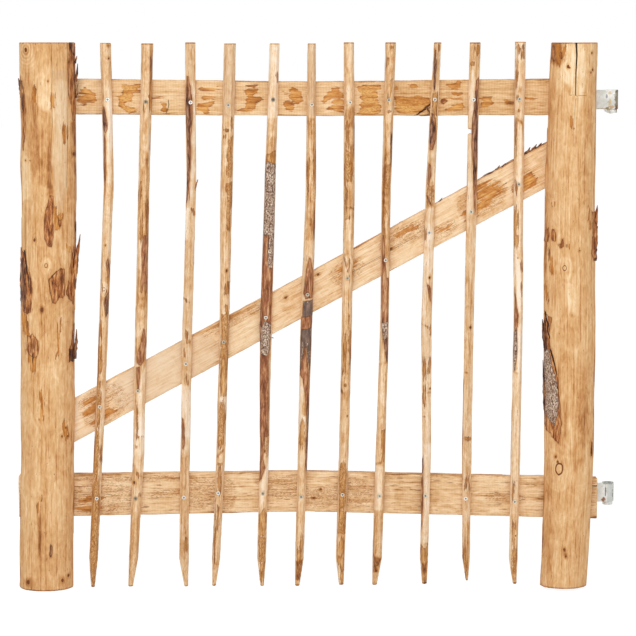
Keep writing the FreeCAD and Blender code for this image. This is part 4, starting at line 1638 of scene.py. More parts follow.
FINISHES = (
    WoodFinish("peeled_post", ("FAE1BC", "EFCA9A", "DFB07A", "CA915A", "A66C39", "744222"),
               streaks=(170.0, 15.0), fibres=(430.0, 62.0), mottle=(56.0, 34.0), mottle_share=0.55,
               shares=(0.5, 0.4, 0.6), thread_share=0.18),
    WoodFinish("split_picket", ("FDEAD3", "F4D7B3", "E4BC8D", "CC965E", "9E6436", "653C1D"),
               stains=("DDAC70", "C8904E", "AA6C33", "854F23", "5C3216"),
               inner_bark=("633822", "8E5637", "AB704B", "C38C62", "D9AD83"),
               dark_bark=("301B14", "583527", "815640", "A5785B", "C69C7C"), stain_share=0.88,
               stain_growth=0.3, flame_level=-0.45, flame_share=0.88, flame="955722",
               pith=(0.0, -28.0), clouds=(60.0, 11.0), streaks=(260.0, 17.0), fibres=(650.0, 80.0),
               dashes=(420.0, 70.0), flames=(240.0, 55.0), threads=(560.0, 9.0),
               shares=(0.5, 0.8, 0.65), middle=0.38, stain_fray=(12.0, 6.0), bark_fray=(2.4, 2.0),
               edge_level=1.02),
    WoodFinish("sawn_rail", ("F7DFBC", "F0CFA4", "E2B988", "CD9C64", "A5703F", "764828"),
               axis=(1.0, 0.0, 0.0), pith=(0.0, -70.0), clouds=(30.0, 8.0), streaks=(190.0, 12.0),
               fibres=(700.0, 60.0), dashes=(420.0, 50.0), flames=(120.0, 40.0),
               threads=(420.0, 6.0), shares=(0.35, 0.42, 0.85), middle=0.37, thread_share=0.13,
               mottle_share=0.35, flame="A0612A", stain_fray=(10.0, 7.0), dash_level=0.76,
               saw_marks=0.03),
    WoodFinish("weathered_rail", ("F8DFBB", "EFCDA2", "E0B787", "CA9762", "A06B3B", "744726"),
               axis=(1.0, 0.0, 0.0), pith=(0.0, -55.0), clouds=(30.0, 8.0), streaks=(170.0, 14.0),
               fibres=(600.0, 45.0), dashes=(330.0, 42.0), flames=(160.0, 50.0),
               threads=(360.0, 7.0), shares=(0.45, 0.55, 0.95), middle=0.31, thread_share=0.2,
               flame="94582A", stain_fray=(26.0, 14.0), dash_level=0.64, saw_marks=0.015),
    WoodFinish("sawn_brace", ("FBE4C6", "F4D6AF", "E8C193", "D29E66", "A8713E", "794A27"),
               axis=tuple(Grain(BRACE_SLOPE).along), pith=(0.0, -80.0), clouds=(28.0, 7.0),
               streaks=(170.0, 11.0), fibres=(620.0, 40.0), dashes=(420.0, 50.0),
               flames=(90.0, 60.0), threads=(400.0, 6.0), shares=(0.4, 0.5, 0.7), middle=0.3,
               flame="A5672F", thread_share=0.13, stain_fray=(22.0, 12.0), dash_level=0.8,
               saw_marks=0.012),
    SteelFinish(STEEL, bright="E8E7E2", dull="CFD0C9", metallic=0.35, spots=(
        # Painted shade, tinged like rust, on the bent right end of the upper strap.
        Spot((13, -24, 744), (10, 60, 34), "857B60", 0.95),
        Spot((9.5, -24, 729), (5, 40, 5), "6A4426"), Spot((9, -24, 760), (5, 40, 2), "5F5D50"),
        Spot((-5, -24, 756), (3, 30, 3.4), "C9A65A", 0.6),
        Spot((-5, -24, 739), (3.4, 30, 6), "C9A65A", 0.65),
        Spot((-1, -24, 731), (6, 30, 3.4), "B98A3E", 0.7),
        Spot((-10, -24, 728.5), (3.6, 30, 2.6), "6E5A30", 0.85),
        Spot((-11, -24, 750), (1.8, 30, 3.6), "8C8C92"),
        Spot((-16, -24, 727.6), (16, 30, 1.3), "A08A50", 0.6),
        Spot((-5, -24, 24), (1.3, 30, 12), "55564F", 0.85),
        Spot((2, -24, 20), (5, 30, 30), "B4B9B6", 0.55),
        Spot((-8, -24, 7), (4.4, 30, 4.6), "8A5420", 0.95),
        # Painted shade on the lower strap: a dark band on its bent right end, and a thin band
        # along its top edge where the eye's hollow shows.
        Spot((13.5, -24, 20), (5, 60, 26), "6F7168"),
        Spot((1, -24, 38), (13, 40, 2.6), "858B80"))),
    SteelFinish(ZINC, bright="E8DAC2", dull="B3A58C", metallic=0.6),
)

(INNER, DARK, GREY, SLATE, STAIN, FLAME, WAVES, STIPPLE, GREYED,
 PALE, LIGHT, PALER, DULL, TAN, BROWN, NOTCH) = Kind

MARKS: dict[str, tuple[Mark | Patch, ...]] = {
    "left_post": marks(
        (PALE, (16, 933, 39, 933, 36, 744, 26, 717, 15, 717, 14, 772, 10, 786, 11, 816, 15, 839),
         (-46, 801, -31, 791, -29, 717, -46, 717)),
        (LIGHT, (-17, 937, 2, 961, 10, 937, 9, 884, -3, 878, -15, 892)),
        (TAN, (-36, 903, -21, 910, -15, 888, -3, 876, 9, 878, 8, 782, 5, 740, -12, 744, -29, 772,
         -36, 839), (40, 858, 53, 858, 51, 717, 37, 717), (-12, 786, 5, 774, 9), (-21, 666, -13,
         604, 13), (12, 310, 292, 5), (23, 279, 22, 228, 6), (37, 174, 39, 154, 6), (2, 178, 4,
         158, 4), (-31, 19, -23, 9, 14), (32, 24, 39, 9, 15)),
        (BROWN, (6, 820, 4, 736, 6), (14, 784, 757, 3), (26, 744, 25, 725, 4), (8, 725, 7, 744, 6),
         (-7, 161, -8, 58, 4.5), (-13, 147, -9, 85, 2.5)),
        (INNER, (41, 1001, 54, 1001, 55, 952, 54, 888, 50, 859, 47, 861, 43, 888, 40, 907)),
        (DARK, (43, 999, 52, 978, 9), (51, 952, 53, 888, 5)),
        (INNER, (-47, 941, -44, 933, -40, 914, -38, 895, -37, 876, -38, 848, -39, 837, -43, 805,
         -45, 805, -46, 848, -47, 895)),
        (DARK, (-45, 933, -41, 914, 5), (-44, 910, -42, 876, 4)),
        (INNER, (5, 726, 11, 726, 12, 709, 11, 681, 14, 664, 12, 645, 10, 630, 7, 630, 1, 637, -3,
         648, -5, 664, -5, 679, -1, 698), (19, 690, 23, 684, 25, 681, 29, 691, 29, 687, 25, 665,
         21, 673), (-49, 626, -41, 621, -36, 595, -28, 582, -25, 568, -24, 555, -27, 526, -28, 514,
         -35, 509, -45, 516, -46, 570, -49, 604)),
        (DARK, (-45, 612, -39, 520, 10)),
        (INNER, (54, 637, 58, 650, 58, 643, 54, 627, 52, 593, 53, 562, 50, 543, 48, 524, 42, 534,
         35, 545, 38, 574, 41, 593, 42, 612, 45, 627)),
        (DARK, (49, 620, 50, 547, 6), (50, 677, 51, 637, 3)),
        (INNER, (25, 597, 32, 593, 33, 543, 24, 539, 18, 528, 13, 530, 10, 543, 6, 562, 4, 573, 9,
         579, 19, 588), (28, 592, 542, 5), (5, 574, 12, 536, 3), (19, 587, 9, 577, 2.5), (-36, 469,
         -24, 472, -13, 461, -13, 445, -17, 432, -28, 432, -36, 443)),
        (DARK, (-23, 466, -22, 443, 3), (-23, 443, -25, 420, 3)),
        (INNER, (53, 495, 53, 459, 51, 432, 43, 432, 41, 432, 44, 459, 48, 488)),
        (DARK, (41, 445, 49, 445, 49, 421, 41, 420), (11, 87, 67, 5)),
        (GREYED, (16, 950, 39, 950, 37, 744, 27, 690, 15, 717, 14, 772, 10, 786, 11, 816, 15,
         839)),
        (STAIN, (13, 909, 12, 882, 8), (33, 850, 827, 6), (-21, 914, -20, 895, 4), (12, 706, 18,
         702, 19, 688, 30, 691, 28, 679, 24, 664, 18, 664, 13, 666), (33, 637, 42, 633, 41, 620,
         36, 624), (-44, 511, -34, 468, 9), (-37, 445, -15, 445, -17, 431, -20, 406, -28, 407, -33,
         426), (25, 486, 22, 440, 4), (-8, 369, -6, 345, 4), (-8, 343, -7, 313, 8), (31, 310, 36,
         286, 7), (-10, 174, -12, 147, 4)),
    ),
    "right_post": marks(
        (PALE, (-25, 993, -3, 993, 0, 903, -5, 903, -10, 922, -18, 923, -23, 903, -27, 916, -31,
         942, -26, 961), (1, 993, 17, 986, 18, 925, 14, 891, 4, 861, 3, 829, 1, 872), (-1, 570, 1,
         509, 18), (0, 315, -2, 255, 14)),
        (TAN, (0, 230, 420, 60), (-44, 995, -20, 995, -18, 967, -29, 954, -43, 958), (-45, 899,
         -42, 797, 12), (-17, 922, -11, 906, 10), (27, 782, 25, 721, 12), (29, 888, 30, 797, 10),
         (-45, 719, 698, 6), (-32, 581, -3, 581, 5), (23, 616, 22, 512, 12), (-47, 251, -39, 255,
         -33, 213, -33, 160, -43, 160), (17, 240, 22, 224, 12), (28, 333, 26, 267, 14), (1, 209,
         -2, 150, 14), (21, 383, 19, 267, 12), (-34, 137, -32, 7, 10)),
        (BROWN, (-36, 993, -34, 959, 14), (-1, 507, 3, 503, 4), (-3, 115, 94, 3), (-6, 76, -2, 59,
         5)),
        (INNER, (-40, 990, -38, 962, 6), (-28, 978, -26, 966, 4), (-46, 659, -40, 661, -39, 650,
         -41, 635, -47, 636), (-34, 660, -30, 661, -27, 646, -27, 636, -33, 637, -35, 648), (-24,
         631, -18, 639, -15, 642, -13, 629, -20, 627), (38, 691, 50, 692, 50, 610, 42, 600, 38,
         616, 39, 650), (-49, 505, -35, 500, -36, 484, -39, 464, -35, 445, -33, 428, -49, 428),
         (-48, 441, -38, 441, -34, 429, -28, 416, -25, 396, -23, 390, -22, 364, -18, 321, -17, 302,
         -20, 277, -23, 267, -31, 277, -35, 280, -36, 286, -44, 290, -46, 306)),
        (GREY, (-49, 441, -40, 441, -36, 429, -31, 402, -25, 383, -22, 348, -23, 325, -28, 300,
         -38, 312, -48, 330)),
        (DARK, (-47, 493, -46, 436, 8), (40, 271, 244, 4)),
        (WAVES, (-44, 995, -20, 995, -18, 967, -29, 954, -43, 958)),
        (STAIN, (-33, 992, -31, 966, 5), (-22, 986, -24, 972, 4), (-5, 861, 848, 4), (-31, 707,
         -32, 702, 3), (-6, 633, 628, 3), (-36, 610, -34, 581, 4), (33, 686, 34, 654, 3), (-45,
         553, -43, 536, 3)),
    ),
    "top_rail": marks(
        (TAN, (34, 669, 33, 798, -32, 798, -31, 670), (32, 820, 31, 947, -33, 947, -32, 821)),
        (BROWN, (-10, 871, -11, 881, 10)),
        (DARK, (-31, 706, -22, 722, 3), (-22, 720, -9, 734, 3.5), (-32, 714, -30, 738, 3.5), (-14,
         724, -31, 736, 3)),
        (INNER, (-5, 750, -1, 758, -6, 764, -12, 758, -9, 752)),
        (STAIN, (12, 99, 17, 106, 13, 115, 9, 120, 4, 127, -2, 126, -7, 128, -10, 124, -9, 116,
         -13, 108, -12, 98, -7, 94, -4, 102, -2, 94, 2, 109, 5, 108, 6, 100)),
        (FLAME, (23, 176, 20, 189, 23, 207, 18, 208, 14, 199, 10, 209, 8, 192, 3, 197, -2, 191, -6,
         195, -9, 178, -15, 180, -18, 190, -22, 205, -26, 196, -28, 188, -24, 180, -13, 169, -4,
         172, 0, 166, 4, 177, 11, 179, 17, 175)),
        (STAIN, (-10, 244, -12, 255, -25, 253, -23, 246, -17, 249), (-1, 232, 0, 251, 2.5), (18,
         315, 18, 332, 19, 350, 14, 350, 13, 333, 14, 315), (3, 323, 4, 346, -1, 341, -3, 326, 0,
         319), (-9, 327, -7, 342, -13, 339, -16, 330, -26, 332, -28, 325, -24, 313, -12, 313, -11,
         321), (13, 397, 18, 410, 17, 421, 11, 419, 6, 410, 1, 413, 2, 423, -2, 428, -5, 420, -10,
         417, -18, 415, -23, 410, -25, 400, -22, 384, -19, 397, -12, 399, -6, 402, -3, 397, -1,
         404, 4, 402, 8, 397), (24, 401, 23, 414, 2), (13, 478, 19, 484, 15, 492, 12, 500, 6, 497,
         0, 499, -4, 503, -6, 496, -9, 494, -7, 489, -1, 482, 2, 477, 7, 480), (-9, 468, -5, 475,
         -8, 485, -17, 485, -23, 483, -21, 478, -17, 473, -13, 468), (13, 467, 9, 474, 2), (8, 548,
         6, 573, 13), (-6, 556, -7, 577, 10), (-16, 552, -18, 577, 10), (19, 553, 18, 567, 13, 566,
         13, 554), (6, 545, 11, 554, 8, 567, 2, 570, -1, 575, -2, 567, 1, 560, -1, 551, -7, 543,
         -4, 534, -1, 540), (-18, 547, -17, 557, -13, 561, -17, 571, -20, 576, -22, 561)),
        (FLAME, (19, 600, 22, 613, 23, 642, 16, 644, 14, 632, 8, 638, -2, 635, -8, 640, -18, 644,
         -28, 639, -30, 621, -28, 603, -19, 607, -17, 613, -11, 605, -5, 611, 3, 607, 7, 611, 11,
         603)),
        (STAIN, (25, 693, 24, 708, 18, 710, 16, 700), (2, 669, 1, 688, 2.5), (18, 669, 674, 5)),
        (FLAME, (0, 671, 4, 710, -1, 730, -13, 735, -28, 710, -29, 682, -20, 671)),
        (STAIN, (23, 763, 24, 778, 31, 782, 29, 788, 19, 787, 16, 778, 18, 770), (-1, 762, -2, 789,
         2.5), (11, 771, 11, 782, 6, 791, 4, 782, 6, 774), (-21, 762, -14, 774, -9, 791, -17, 794,
         -23, 791, -24, 766), (-1, 823, 1, 845, -4, 840, -10, 847, -18, 837, -17, 824, -7, 830),
         (-4, 860, 881, 2.5), (-6, 868, -9, 873, 2), (-2, 905, -5, 925, 3)),
    ),
    "bottom_rail": marks(
        (PALER, (0, 130, 250, 60)),
        (DULL, (0, 770, 1030, 90)),
        (TAN, (8, 160, 6, 182, 7), (-20, 366, -22, 392, 6), (0, 700, 760, 60), (0, 1030, 1064,
         80)),
        (BROWN, (8, 600, 7, 616, 2), (-14, 604, -13, 632, 2), (-4, 950, 4, 985, 6)),
        (WAVES, (-8, 104, -6, 205, 58)),
        (STAIN, (-12, 118, -4, 150, 9)),
        (WAVES, (30, 104, 29, 330, 12)),
        (STAIN, (-22, 108, -24, 150, 8)),
        (WAVES, (0, 318, 2, 345, 60), (-2, 362, 388, 62), (20, 440, 18, 520, 22), (2, 590, 0, 640,
         56), (6, 456, 8, 512, 40), (-10, 530, -9, 575, 40)),
        (STIPPLE, (12, 708, 0, 736, 44)),
        (WAVES, (-3, 860, 930, 20), (0, 240, 2, 300, 16)),
    ),
    "brace": marks(
        (LIGHT, (0, 60, 330, 90)),
        (TAN, (0, 560, 680, 60), (-4, 140, 0, 196, 60), (0, 930, 1000, 60), (0, 1060, 1150, 70)),
        (BROWN, (30, 396, 500, 5)),
        (DARK, (37.5, 940, 1130, 3.6), (37.5, 380, 520, 3.4), (37.5, 700, 860, 3.4)),
        (WAVES, (0, 142, 2, 212, 66)),
        (STAIN, (-20, 150, -14, 186, 12), (2, 140, 4, 168, 9), (20, 146, 17, 170, 8), (-6, 170, -4,
         196, 6)),
        (GREYED, (0, 210, 400, 80)),
        (WAVES, (24, 400, 22, 520, 18), (2, 660, 7, 712, 40)),
        (STAIN, (14, 672, 10, 702, 9), (-2, 668, 0, 690, 6)),
        (WAVES, (13, 764, 9, 850, 34)),
        (STAIN, (18, 800, 16, 832, 6)),
        (WAVES, (0, 926, 4, 1000, 52)),
        (STAIN, (-12, 925, -8, 975, 16), (8, 940, 13, 998, 14), (22, 955, 24, 990, 8), (0, 962, 4,
         1006, 10), (-14, 1026, -8, 1064, 24)),
        (WAVES, (-15, 850, 900, 26)),
        (STAIN, (-14, 870, 892, 6)),
    ),
    "picket_01": marks(
        (PALE, (8.5, 918, 2.5, 738, 10)),
        (LIGHT, (1, 925, 790, 16), (0, 725, 585, 16), (0, 377, 262, 17)),
        (TAN, (0, 150, 10, 14), (0, 548, 528, 16)),
        (BROWN, (2.5, 997, 7, 993, 5), (-4, 831, -6, 725, 3), (-5, 904, -7.5, 895, 2.5), (-6.5,
         290, -6, 226, 2), (-1, 120, 0, 96, 5)),
        (INNER, (-4.5, 836, -6.5, 742, 4), (-7, 885, -3.5, 885, -1, 869, 1, 854, 1, 844, -3, 835,
         -5, 838, -6.5, 864)),
        (DARK, (-5.5, 882, -4, 840, 7)),
        (INNER, (3.5, 612, 6.5, 605, 8.5, 587, 6.5, 571, 4, 583, 0.5, 600)),
        (DARK, (1, 537, 7.5, 548, 8.5, 511, 4.5, 501, 1, 522)),
        (STAIN, (8, 595, 7, 543, 4), (-6, 566, -2, 548, 3), (-5.5, 495, 454, 5), (-4.5, 451, -4,
         427, 8), (-2.5, 425, -3, 401, 8), (-5.5, 396, -3, 364, 5)),
        (FLAME, (-3, 377, 300, 8), (-3, 294, -2, 200, 9), (0, 205, 1, 10, 14)),
        (STAIN, (-6, 356, 300, 4), (-6, 282, -5, 214, 4), (-6, 196, -5, 168, 5), (-5, 150, -3, 106,
         5), (5, 260, 6, 236, 3)),
    ),
    "picket_02": marks(
        (PALE, (1.5, 390, 12.5, 416, 11, 280, -3.5, 280, -3, 361), (-8.5, 293, 11, 293, 11, 214,
         4.5, 214, -8.5, 232)),
        (LIGHT, (0, 640, 612, 18), (0, 314, 288, 18)),
        (DULL, (0, 466, 430, 18)),
        (TAN, (-7.5, 775, 11, 775, 9.5, 642, -9, 642), (-7, 145, -4.5, 28, 6), (5, 145, 6, 28, 5),
         (-4, 28, -2, 1, 12), (0, 580, 520, 18), (0, 462, 434, 18), (0, 250, 202, 18)),
        (BROWN, (9, 978, 900, 4), (7.5, 712, 8, 650, 5), (5.5, 797, 4, 775, 5)),
        (INNER, (7, 975, 10.5, 969, 10, 948, 8, 942, 6.5, 961), (0.5, 646, 3, 651, 9.5, 651, 9.5,
         547, 7, 535, 5, 565, 0.5, 544, -2, 547, -2.5, 565, 0, 586, -1, 625), (4.5, 480, 8, 477,
         10, 453, 7.5, 421, 0.5, 411, -6, 416, -7, 429, -3, 442, 1, 458), (-7.5, 408, 0.5, 411,
         1.5, 390, -0.5, 368, -4, 368)),
        (DARK, (-4.5, 366, 0.5, 365, 3)),
        (STAIN, (5, 904, 9.5, 897, 5), (9, 897, 8.5, 877, 5), (-1, 884, -2, 873, 3), (-8, 749,
         -4.5, 749, -4.5, 685, -7.5, 682), (9, 700, 8.5, 642, 5), (-3, 682, -2.5, 642, 5), (-4.5,
         337, -3.5, 284, 3), (-4, 283, -2, 278, 4), (-1, 280, 7, 281, 2), (-4, 264, -3.5, 259, 4),
         (-1, 214, 4.5, 206, 5), (5, 177, 7, 169, 4)),
    ),
    "picket_03": marks(
        (PALE, (6.5, 920, 9.5, 910, 9.5, 863, 6, 775, 3.5, 749, 2, 775, 5, 843), (-3, 749, 4, 747,
         1.5, 721, -5, 721), (-8.5, 700, -1, 698, -2.5, 642, -8.5, 642), (-9, 374, 3, 374, 8.5,
         363, 8, 280, -8, 280)),
        (LIGHT, (1, 928, 902, 16), (0, 838, 815, 16), (0, 784, 755, 16), (0, 284, 260, 16)),
        (TAN, (-7, 243, 2.5, 243, 3, 145, 1, 65, -7, 54)),
        (INNER, (-6.5, 939, -3.5, 938, 1.5, 920, 3.5, 897, 4.5, 873, 3, 848, 1, 827, 1, 801, -0.5,
         775, -3, 749, -5.5, 718, -9, 696, -8.5, 724, -7, 775, -7, 827, -8, 879, -8.5, 904)),
        (DARK, (-7.5, 920, -4, 919, -1, 899, 0.5, 873, 0.5, 843, -2, 812, -2, 781, -4.5, 747, -7.5,
         726, -7, 775, -7, 827, -8, 879)),
        (INNER, (-6.5, 314, -4, 312, -1.5, 295, -2, 280, -5.5, 280, -7, 300), (-6, 288, -1.5, 285,
         0, 269, -3, 256, -6, 259)),
        (STAIN, (-4, 737, -7, 703, 3), (3.5, 698, 8, 687, 4), (-7, 534, -0.5, 529, 2.5), (-1.5,
         476, -1, 463, 5), (0, 460, 4, 453, 6), (-5.5, 442, -2.5, 429, 4), (0, 390, 5, 376, 3), (4,
         90, 3.5, 68, 8)),
    ),
    "picket_04": marks(
        (PALE, (-5, 350, 5.5, 349, 3, 279, -4.5, 279)),
        (LIGHT, (0, 460, 435, 16)),
        (TAN, (2.5, 64, 1, 16, 9), (0, 762, 730, 18), (0, 577, 553, 16)),
        (BROWN, (-3.5, 427, 8, 430, 3)),
        (GREYED, (-10, 996, 10.5, 996, 11, 862, -10, 862)),
        (STAIN, (-6, 840, -1, 839, 3), (-5.5, 830, -5, 826, 3)),
        (FLAME, (2.5, 821, 10, 831, 10.5, 755, 2.5, 754, -2, 767, 2.5, 782, -0.5, 792), (-1, 743,
         9.5, 746, 10, 720, 2, 723), (2, 720, 9.5, 720, 7.5, 659, 4, 660, 1, 691)),
        (STAIN, (7, 860, 8, 842, 4), (0, 561, 8.5, 564, 8.5, 543, 1, 543), (3, 521, 3.5, 509, 7)),
        (FLAME, (-5, 504, 8, 509, 8.5, 425, -5, 425)),
        (STAIN, (-4.5, 423, 7.5, 425, 8, 354, -3.5, 354), (-2.5, 480, 0.5, 457, 4), (-4.5, 243,
         3.5, 255, 4), (-4.5, 229, 2.5, 229, 5), (-1, 223, 0.5, 178, 6), (-6.5, 149, -3.5, 53, 3),
         (-1, 149, -0.5, 107, 5)),
        (FLAME, (0, 346, 262, 13)),
    ),
    "picket_05": marks(
        (PALE, (-8.5, 996, 9.5, 996, 9.5, 862, -8.5, 862), (9, 237, 9, 181, -5, 149, -7, 192, 3.5,
         216)),
        (TAN, (-8.5, 831, 9.5, 829, 9.5, 780, -8.5, 782), (0, 928, 902, 18)),
        (BROWN, (3, 90, 2, 60, 4)),
        (GREY, (-9, 780, -3.5, 784, 9.5, 778, 9.5, 641, -9.5, 641)),
        (INNER, (-10, 650, 9.5, 650, 9.5, 488, 6.5, 415, 8, 279, -9, 279, -10.5, 336, -11, 415,
         -11, 520)),
        (GREY, (0.5, 650, 9, 650, 9, 590, 1.5, 588, -1, 619), (-10, 478, -2.5, 493, 9, 486, 8, 441,
         3, 428, -9, 431)),
        (DARK, (-10, 493, -9.5, 467, 4), (3.5, 315, 4.5, 309, 5)),
        (INNER, (-7, 292, 0.5, 292, 1, 261, -1.5, 239, 3.5, 223, -4, 202, -8, 195)),
        (STAIN, (-8.5, 795, 9.5, 803, 9.5, 780, -8.5, 781), (6, 942, 7.5, 929, 3)),
        (WAVES, (0.5, 292, 9.5, 292, 8, 242, 3, 242, 0, 261)),
        (STAIN, (-7.5, 133, 3, 149, 7, 133, 5.5, 96, -5, 96)),
        (FLAME, (-6.5, 96, 7.5, 91, 6.5, 43, -5.5, 48)),
        (STAIN, (1, 46, 0, 8, 9)),
    ),
    "picket_06": marks(
        (PALE, (-1, 826, 0.5, 785, 5), (-6.5, 564, -3.5, 561, -6, 546, -1, 534, -7.5, 532), (-10,
         391, -2.5, 386, 1, 341, 4.5, 279, -10, 279, -10.5, 325)),
        (LIGHT, (0, 252, 232, 16)),
        (TAN, (-6.5, 862, 8.5, 862, 12, 641, -8, 641)),
        (BROWN, (8.5, 702, 9.5, 646, 5), (8, 805, 6.5, 748, 3.5), (-6.5, 48, 7.5, 53, 6, 11, -6,
         11), (1, 342, 320, 11)),
        (INNER, (1, 611, 4.5, 607, 9, 588, 10.5, 569, 10.5, 535, -3.5, 533, -7.5, 543, -6, 561,
         -3.5, 585)),
        (SLATE, (-7.5, 529, 10.5, 532, 11, 503, -7.5, 500)),
        (INNER, (-9.5, 500, 10.5, 503, 10.5, 479, -9.5, 476)),
        (SLATE, (-9.5, 477, 9.5, 480, 9.5, 446, 9, 389, 5.5, 415, -1, 452, -6.5, 399, -9.5, 399)),
        (INNER, (-1, 449, 5, 415, 9, 386, 8, 315, 1, 349, -3.5, 386, -9, 394, -6.5, 415)),
        (DARK, (6.5, 362, 8, 279, 5), (7, 292, 8, 213, 5)),
        (STAIN, (-5, 790, -6, 740, 4)),
        (GREYED, (-6.5, 996, 7, 996, 7.5, 867, -5.5, 867)),
        (STAIN, (5, 785, 6, 764, 5), (2, 678, 5.5, 655, 5), (-2.5, 274, 5, 272, 2.5), (4.5, 95, 3,
         64, 6), (-1, 70, 0, 48, 9), (-2, 312, 262, 10)),
    ),
    "picket_07": marks(
        (PALE, (-2, 793, -0.5, 780, 5), (0, 765, -1, 752, 5), (-5.5, 674, 3.5, 679, 4, 639, -4.5,
         639), (-2, 917, -1, 883, 6)),
        (LIGHT, (0, 840, 813, 18), (0, 607, 583, 18)),
        (TAN, (3, 880, 4, 800, 12), (-7.5, 876, 13, 881, 11, 639, -9.5, 639), (-8, 502, 7, 502, 7,
         392, -8, 392), (-7, 174, 8, 174, 9, 51, -6.5, 54), (0, 402, 350, 18)),
        (BROWN, (-8.5, 364, -5, 358, 4), (-4, 56, 4, 50, 5)),
        (STAIN, (5, 800, 760, 6), (-6, 870, -7, 695, 4), (-3, 850, -1, 809, 5)),
        (FLAME, (-6.5, 803, 2.5, 798, 4, 746, -6, 744)),
        (STAIN, (-7.5, 698, 9, 696, 2), (-7.5, 676, 3, 680, 3), (-5.5, 601, -0.5, 580, 3), (3.5,
         604, 0, 580, 3), (5, 497, 6, 413, 4), (-2.5, 465, -3, 397, 6)),
        (FLAME, (-5, 142, 9, 137, 8, 97, -5.5, 99)),
        (STAIN, (-0.5, 139, 0, 129, 6), (-6.5, 51, 1.5, 57, 8.5, 49, 8, 25, 2, 30, -5.5, 43),
         (1, 88, 58, 10), (2, 26, 1, 5, 8)),
        (FLAME, (0, 228, 146, 15)),
    ),
    "picket_08": marks(
        (PALE, (4, 596, 3.5, 573, 4), (-2.5, 444, 2, 423, 5, 408, 4.5, 334, -6, 347, -6.5, 426),
         (-8, 224, 6, 221, 7, 142, -9.5, 142)),
        (LIGHT, (0, 664, 640, 16)),
        (DULL, (0, 196, 148, 17)),
        (TAN, (-7, 731, 7.5, 731, 7.5, 639, -7, 639), (-9.5, 142, -2, 142, -1, 57, -8, 57), (0,
         430, 348, 16)),
        (BROWN, (-3.5, 824, -4, 757, 4), (-5, 757, 662, 4), (-8, 227, 4.5, 230, 3), (-8, 57, 8, 51,
         3, 25, -5, 25)),
        (DARK, (7, 840, 7.5, 772, 3)),
        (INNER, (-7, 648, -3, 648, -0.5, 609, 2, 570, 6.5, 570, 6.5, 486, -5.5, 486, -7, 570)),
        (GREY, (-5.5, 488, 6, 491, 6, 460, -2.5, 455)),
        (DARK, (-2, 455, 6, 461, 7.5, 415, 5.5, 413, 2.5, 431)),
        (STAIN, (0, 988, 5.5, 986, 4), (-5, 968, -4, 953, 5), (0, 927, 5, 931, 6, 917, 4, 896, -1,
         894), (0, 873, 2, 870, 6)),
        (WAVES, (-7, 772, 6.5, 778, 7, 731, -7, 731)),
        (STAIN, (-3.5, 697, -0.5, 687, 6), (-5, 682, -4.5, 639, 4), (0.5, 290, 7, 290, 7.5, 232, 2,
         229)),
    ),
    "picket_09": marks(
        (PALE, (6.5, 817, 8, 770, 6.5, 742, 0.5, 744, -1, 788), (-7, 695, 6, 695, 6, 637, -8.5,
         637), (-10, 646, 7, 646, 5, 573, -4.5, 500, -8, 500), (-5.5, 262, 7, 262, 7.5, 129, 5.5,
         79, -3.5, 79)),
        (LIGHT, (0, 515, 262, 18)),
        (TAN, (0, 782, 755, 16), (0, 694, 670, 18)),
        (BROWN, (-6, 41, 6, 41, 4.5, 0, -1.5, 0, -5.5, 23)),
        (DARK, (-5, 982, -2, 981, 1, 951, -0.5, 915, -2.5, 905, -4.5, 915, -5.5, 956), (-3.5, 866,
         -0.5, 858, 4)),
        (INNER, (-5.5, 860, 3.5, 858, 5.5, 822, 0.5, 801, -5, 799, -7, 838)),
        (DARK, (-5, 858, -1, 857, 2.5, 840, 2, 825, -0.5, 812, -5.5, 812, -6.5, 838)),
        (INNER, (-6, 776, -1.5, 773, 0.5, 755, -3, 734, -6, 737)),
        (DARK, (-6.5, 719, 1.5, 701, 3)),
        (INNER, (-2, 558, 2, 555, 6.5, 547, 7, 524, 4.5, 524, 0.5, 542)),
        (DARK, (-7.5, 235, -7, 206, 4)),
        (INNER, (-7.5, 206, -6, 129, 3.5)),
        (STAIN, (3, 988, 4, 979, 4), (-5.5, 902, 4.5, 905, 6, 863, -3, 863)),
        (WAVES, (-7, 734, 6.5, 737, 6, 698, -6.5, 698)),
        (STAIN, (-1.5, 729, 5.5, 724, 5), (-8, 656, -6.5, 637, 4), (-7.5, 482, 8, 474, 2), (6, 479,
         7, 463, 4), (-5, 416, 382, 5), (6, 421, 5, 395, 5), (5, 358, 6, 355, 5), (-5, 367, -4.5,
         334, 5), (-8, 313, -2.5, 312, 3), (-7.5, 76, 0.5, 68, 6.5, 76, 6, 41, -6, 39)),
    ),
    "picket_10": marks(
        (PALE, (-6.5, 806, -5.5, 661, 6), (-5.5, 945, -5, 842, 6)),
        (LIGHT, (0, 198, 172, 16)),
        (TAN, (2, 468, 0.5, 405, 6), (-6, 107, 7, 113, 6, 22, -2.5, 6, -6, 54), (0, 40, 8, 8), (0,
         988, 932, 18)),
        (BROWN, (-6.5, 387, -2, 387, 3)),
        (INNER, (3, 919, 8.5, 927, 8.5, 733, 6.5, 676, 3.5, 702, 1, 738, 0, 764, -3, 801, -3.5,
         832, -3, 852, -0.5, 868, 1, 899)),
        (DARK, (1, 899, 6.5, 904, 8, 837, 0.5, 837, 0, 862), (0, 832, 8, 842, 8, 733, 4.5, 723, 1,
         744, 0, 775)),
        (NOTCH, (-10, 826.5, 829.5, 15)),
        (STAIN, (0, 981, 8.5, 982, 8.5, 968, 4.5, 963, -0.5, 973), (-4.5, 952, 947, 6), (-6, 266,
         6.5, 265, 6), (-1, 195, -5, 171, 3), (3, 195, 6.5, 171, 3), (-4, 66, -2, 12, 4)),
    ),
    "picket_11": marks(
        (PALE, (0.5, 843, 1.5, 744, 10), (-6, 612, 4.5, 599, 4, 500, 0, 505, -4, 537), (0.5, 489,
         8.5, 479, 9, 398, -1, 395)),
        (LIGHT, (0, 990, 962, 18)),
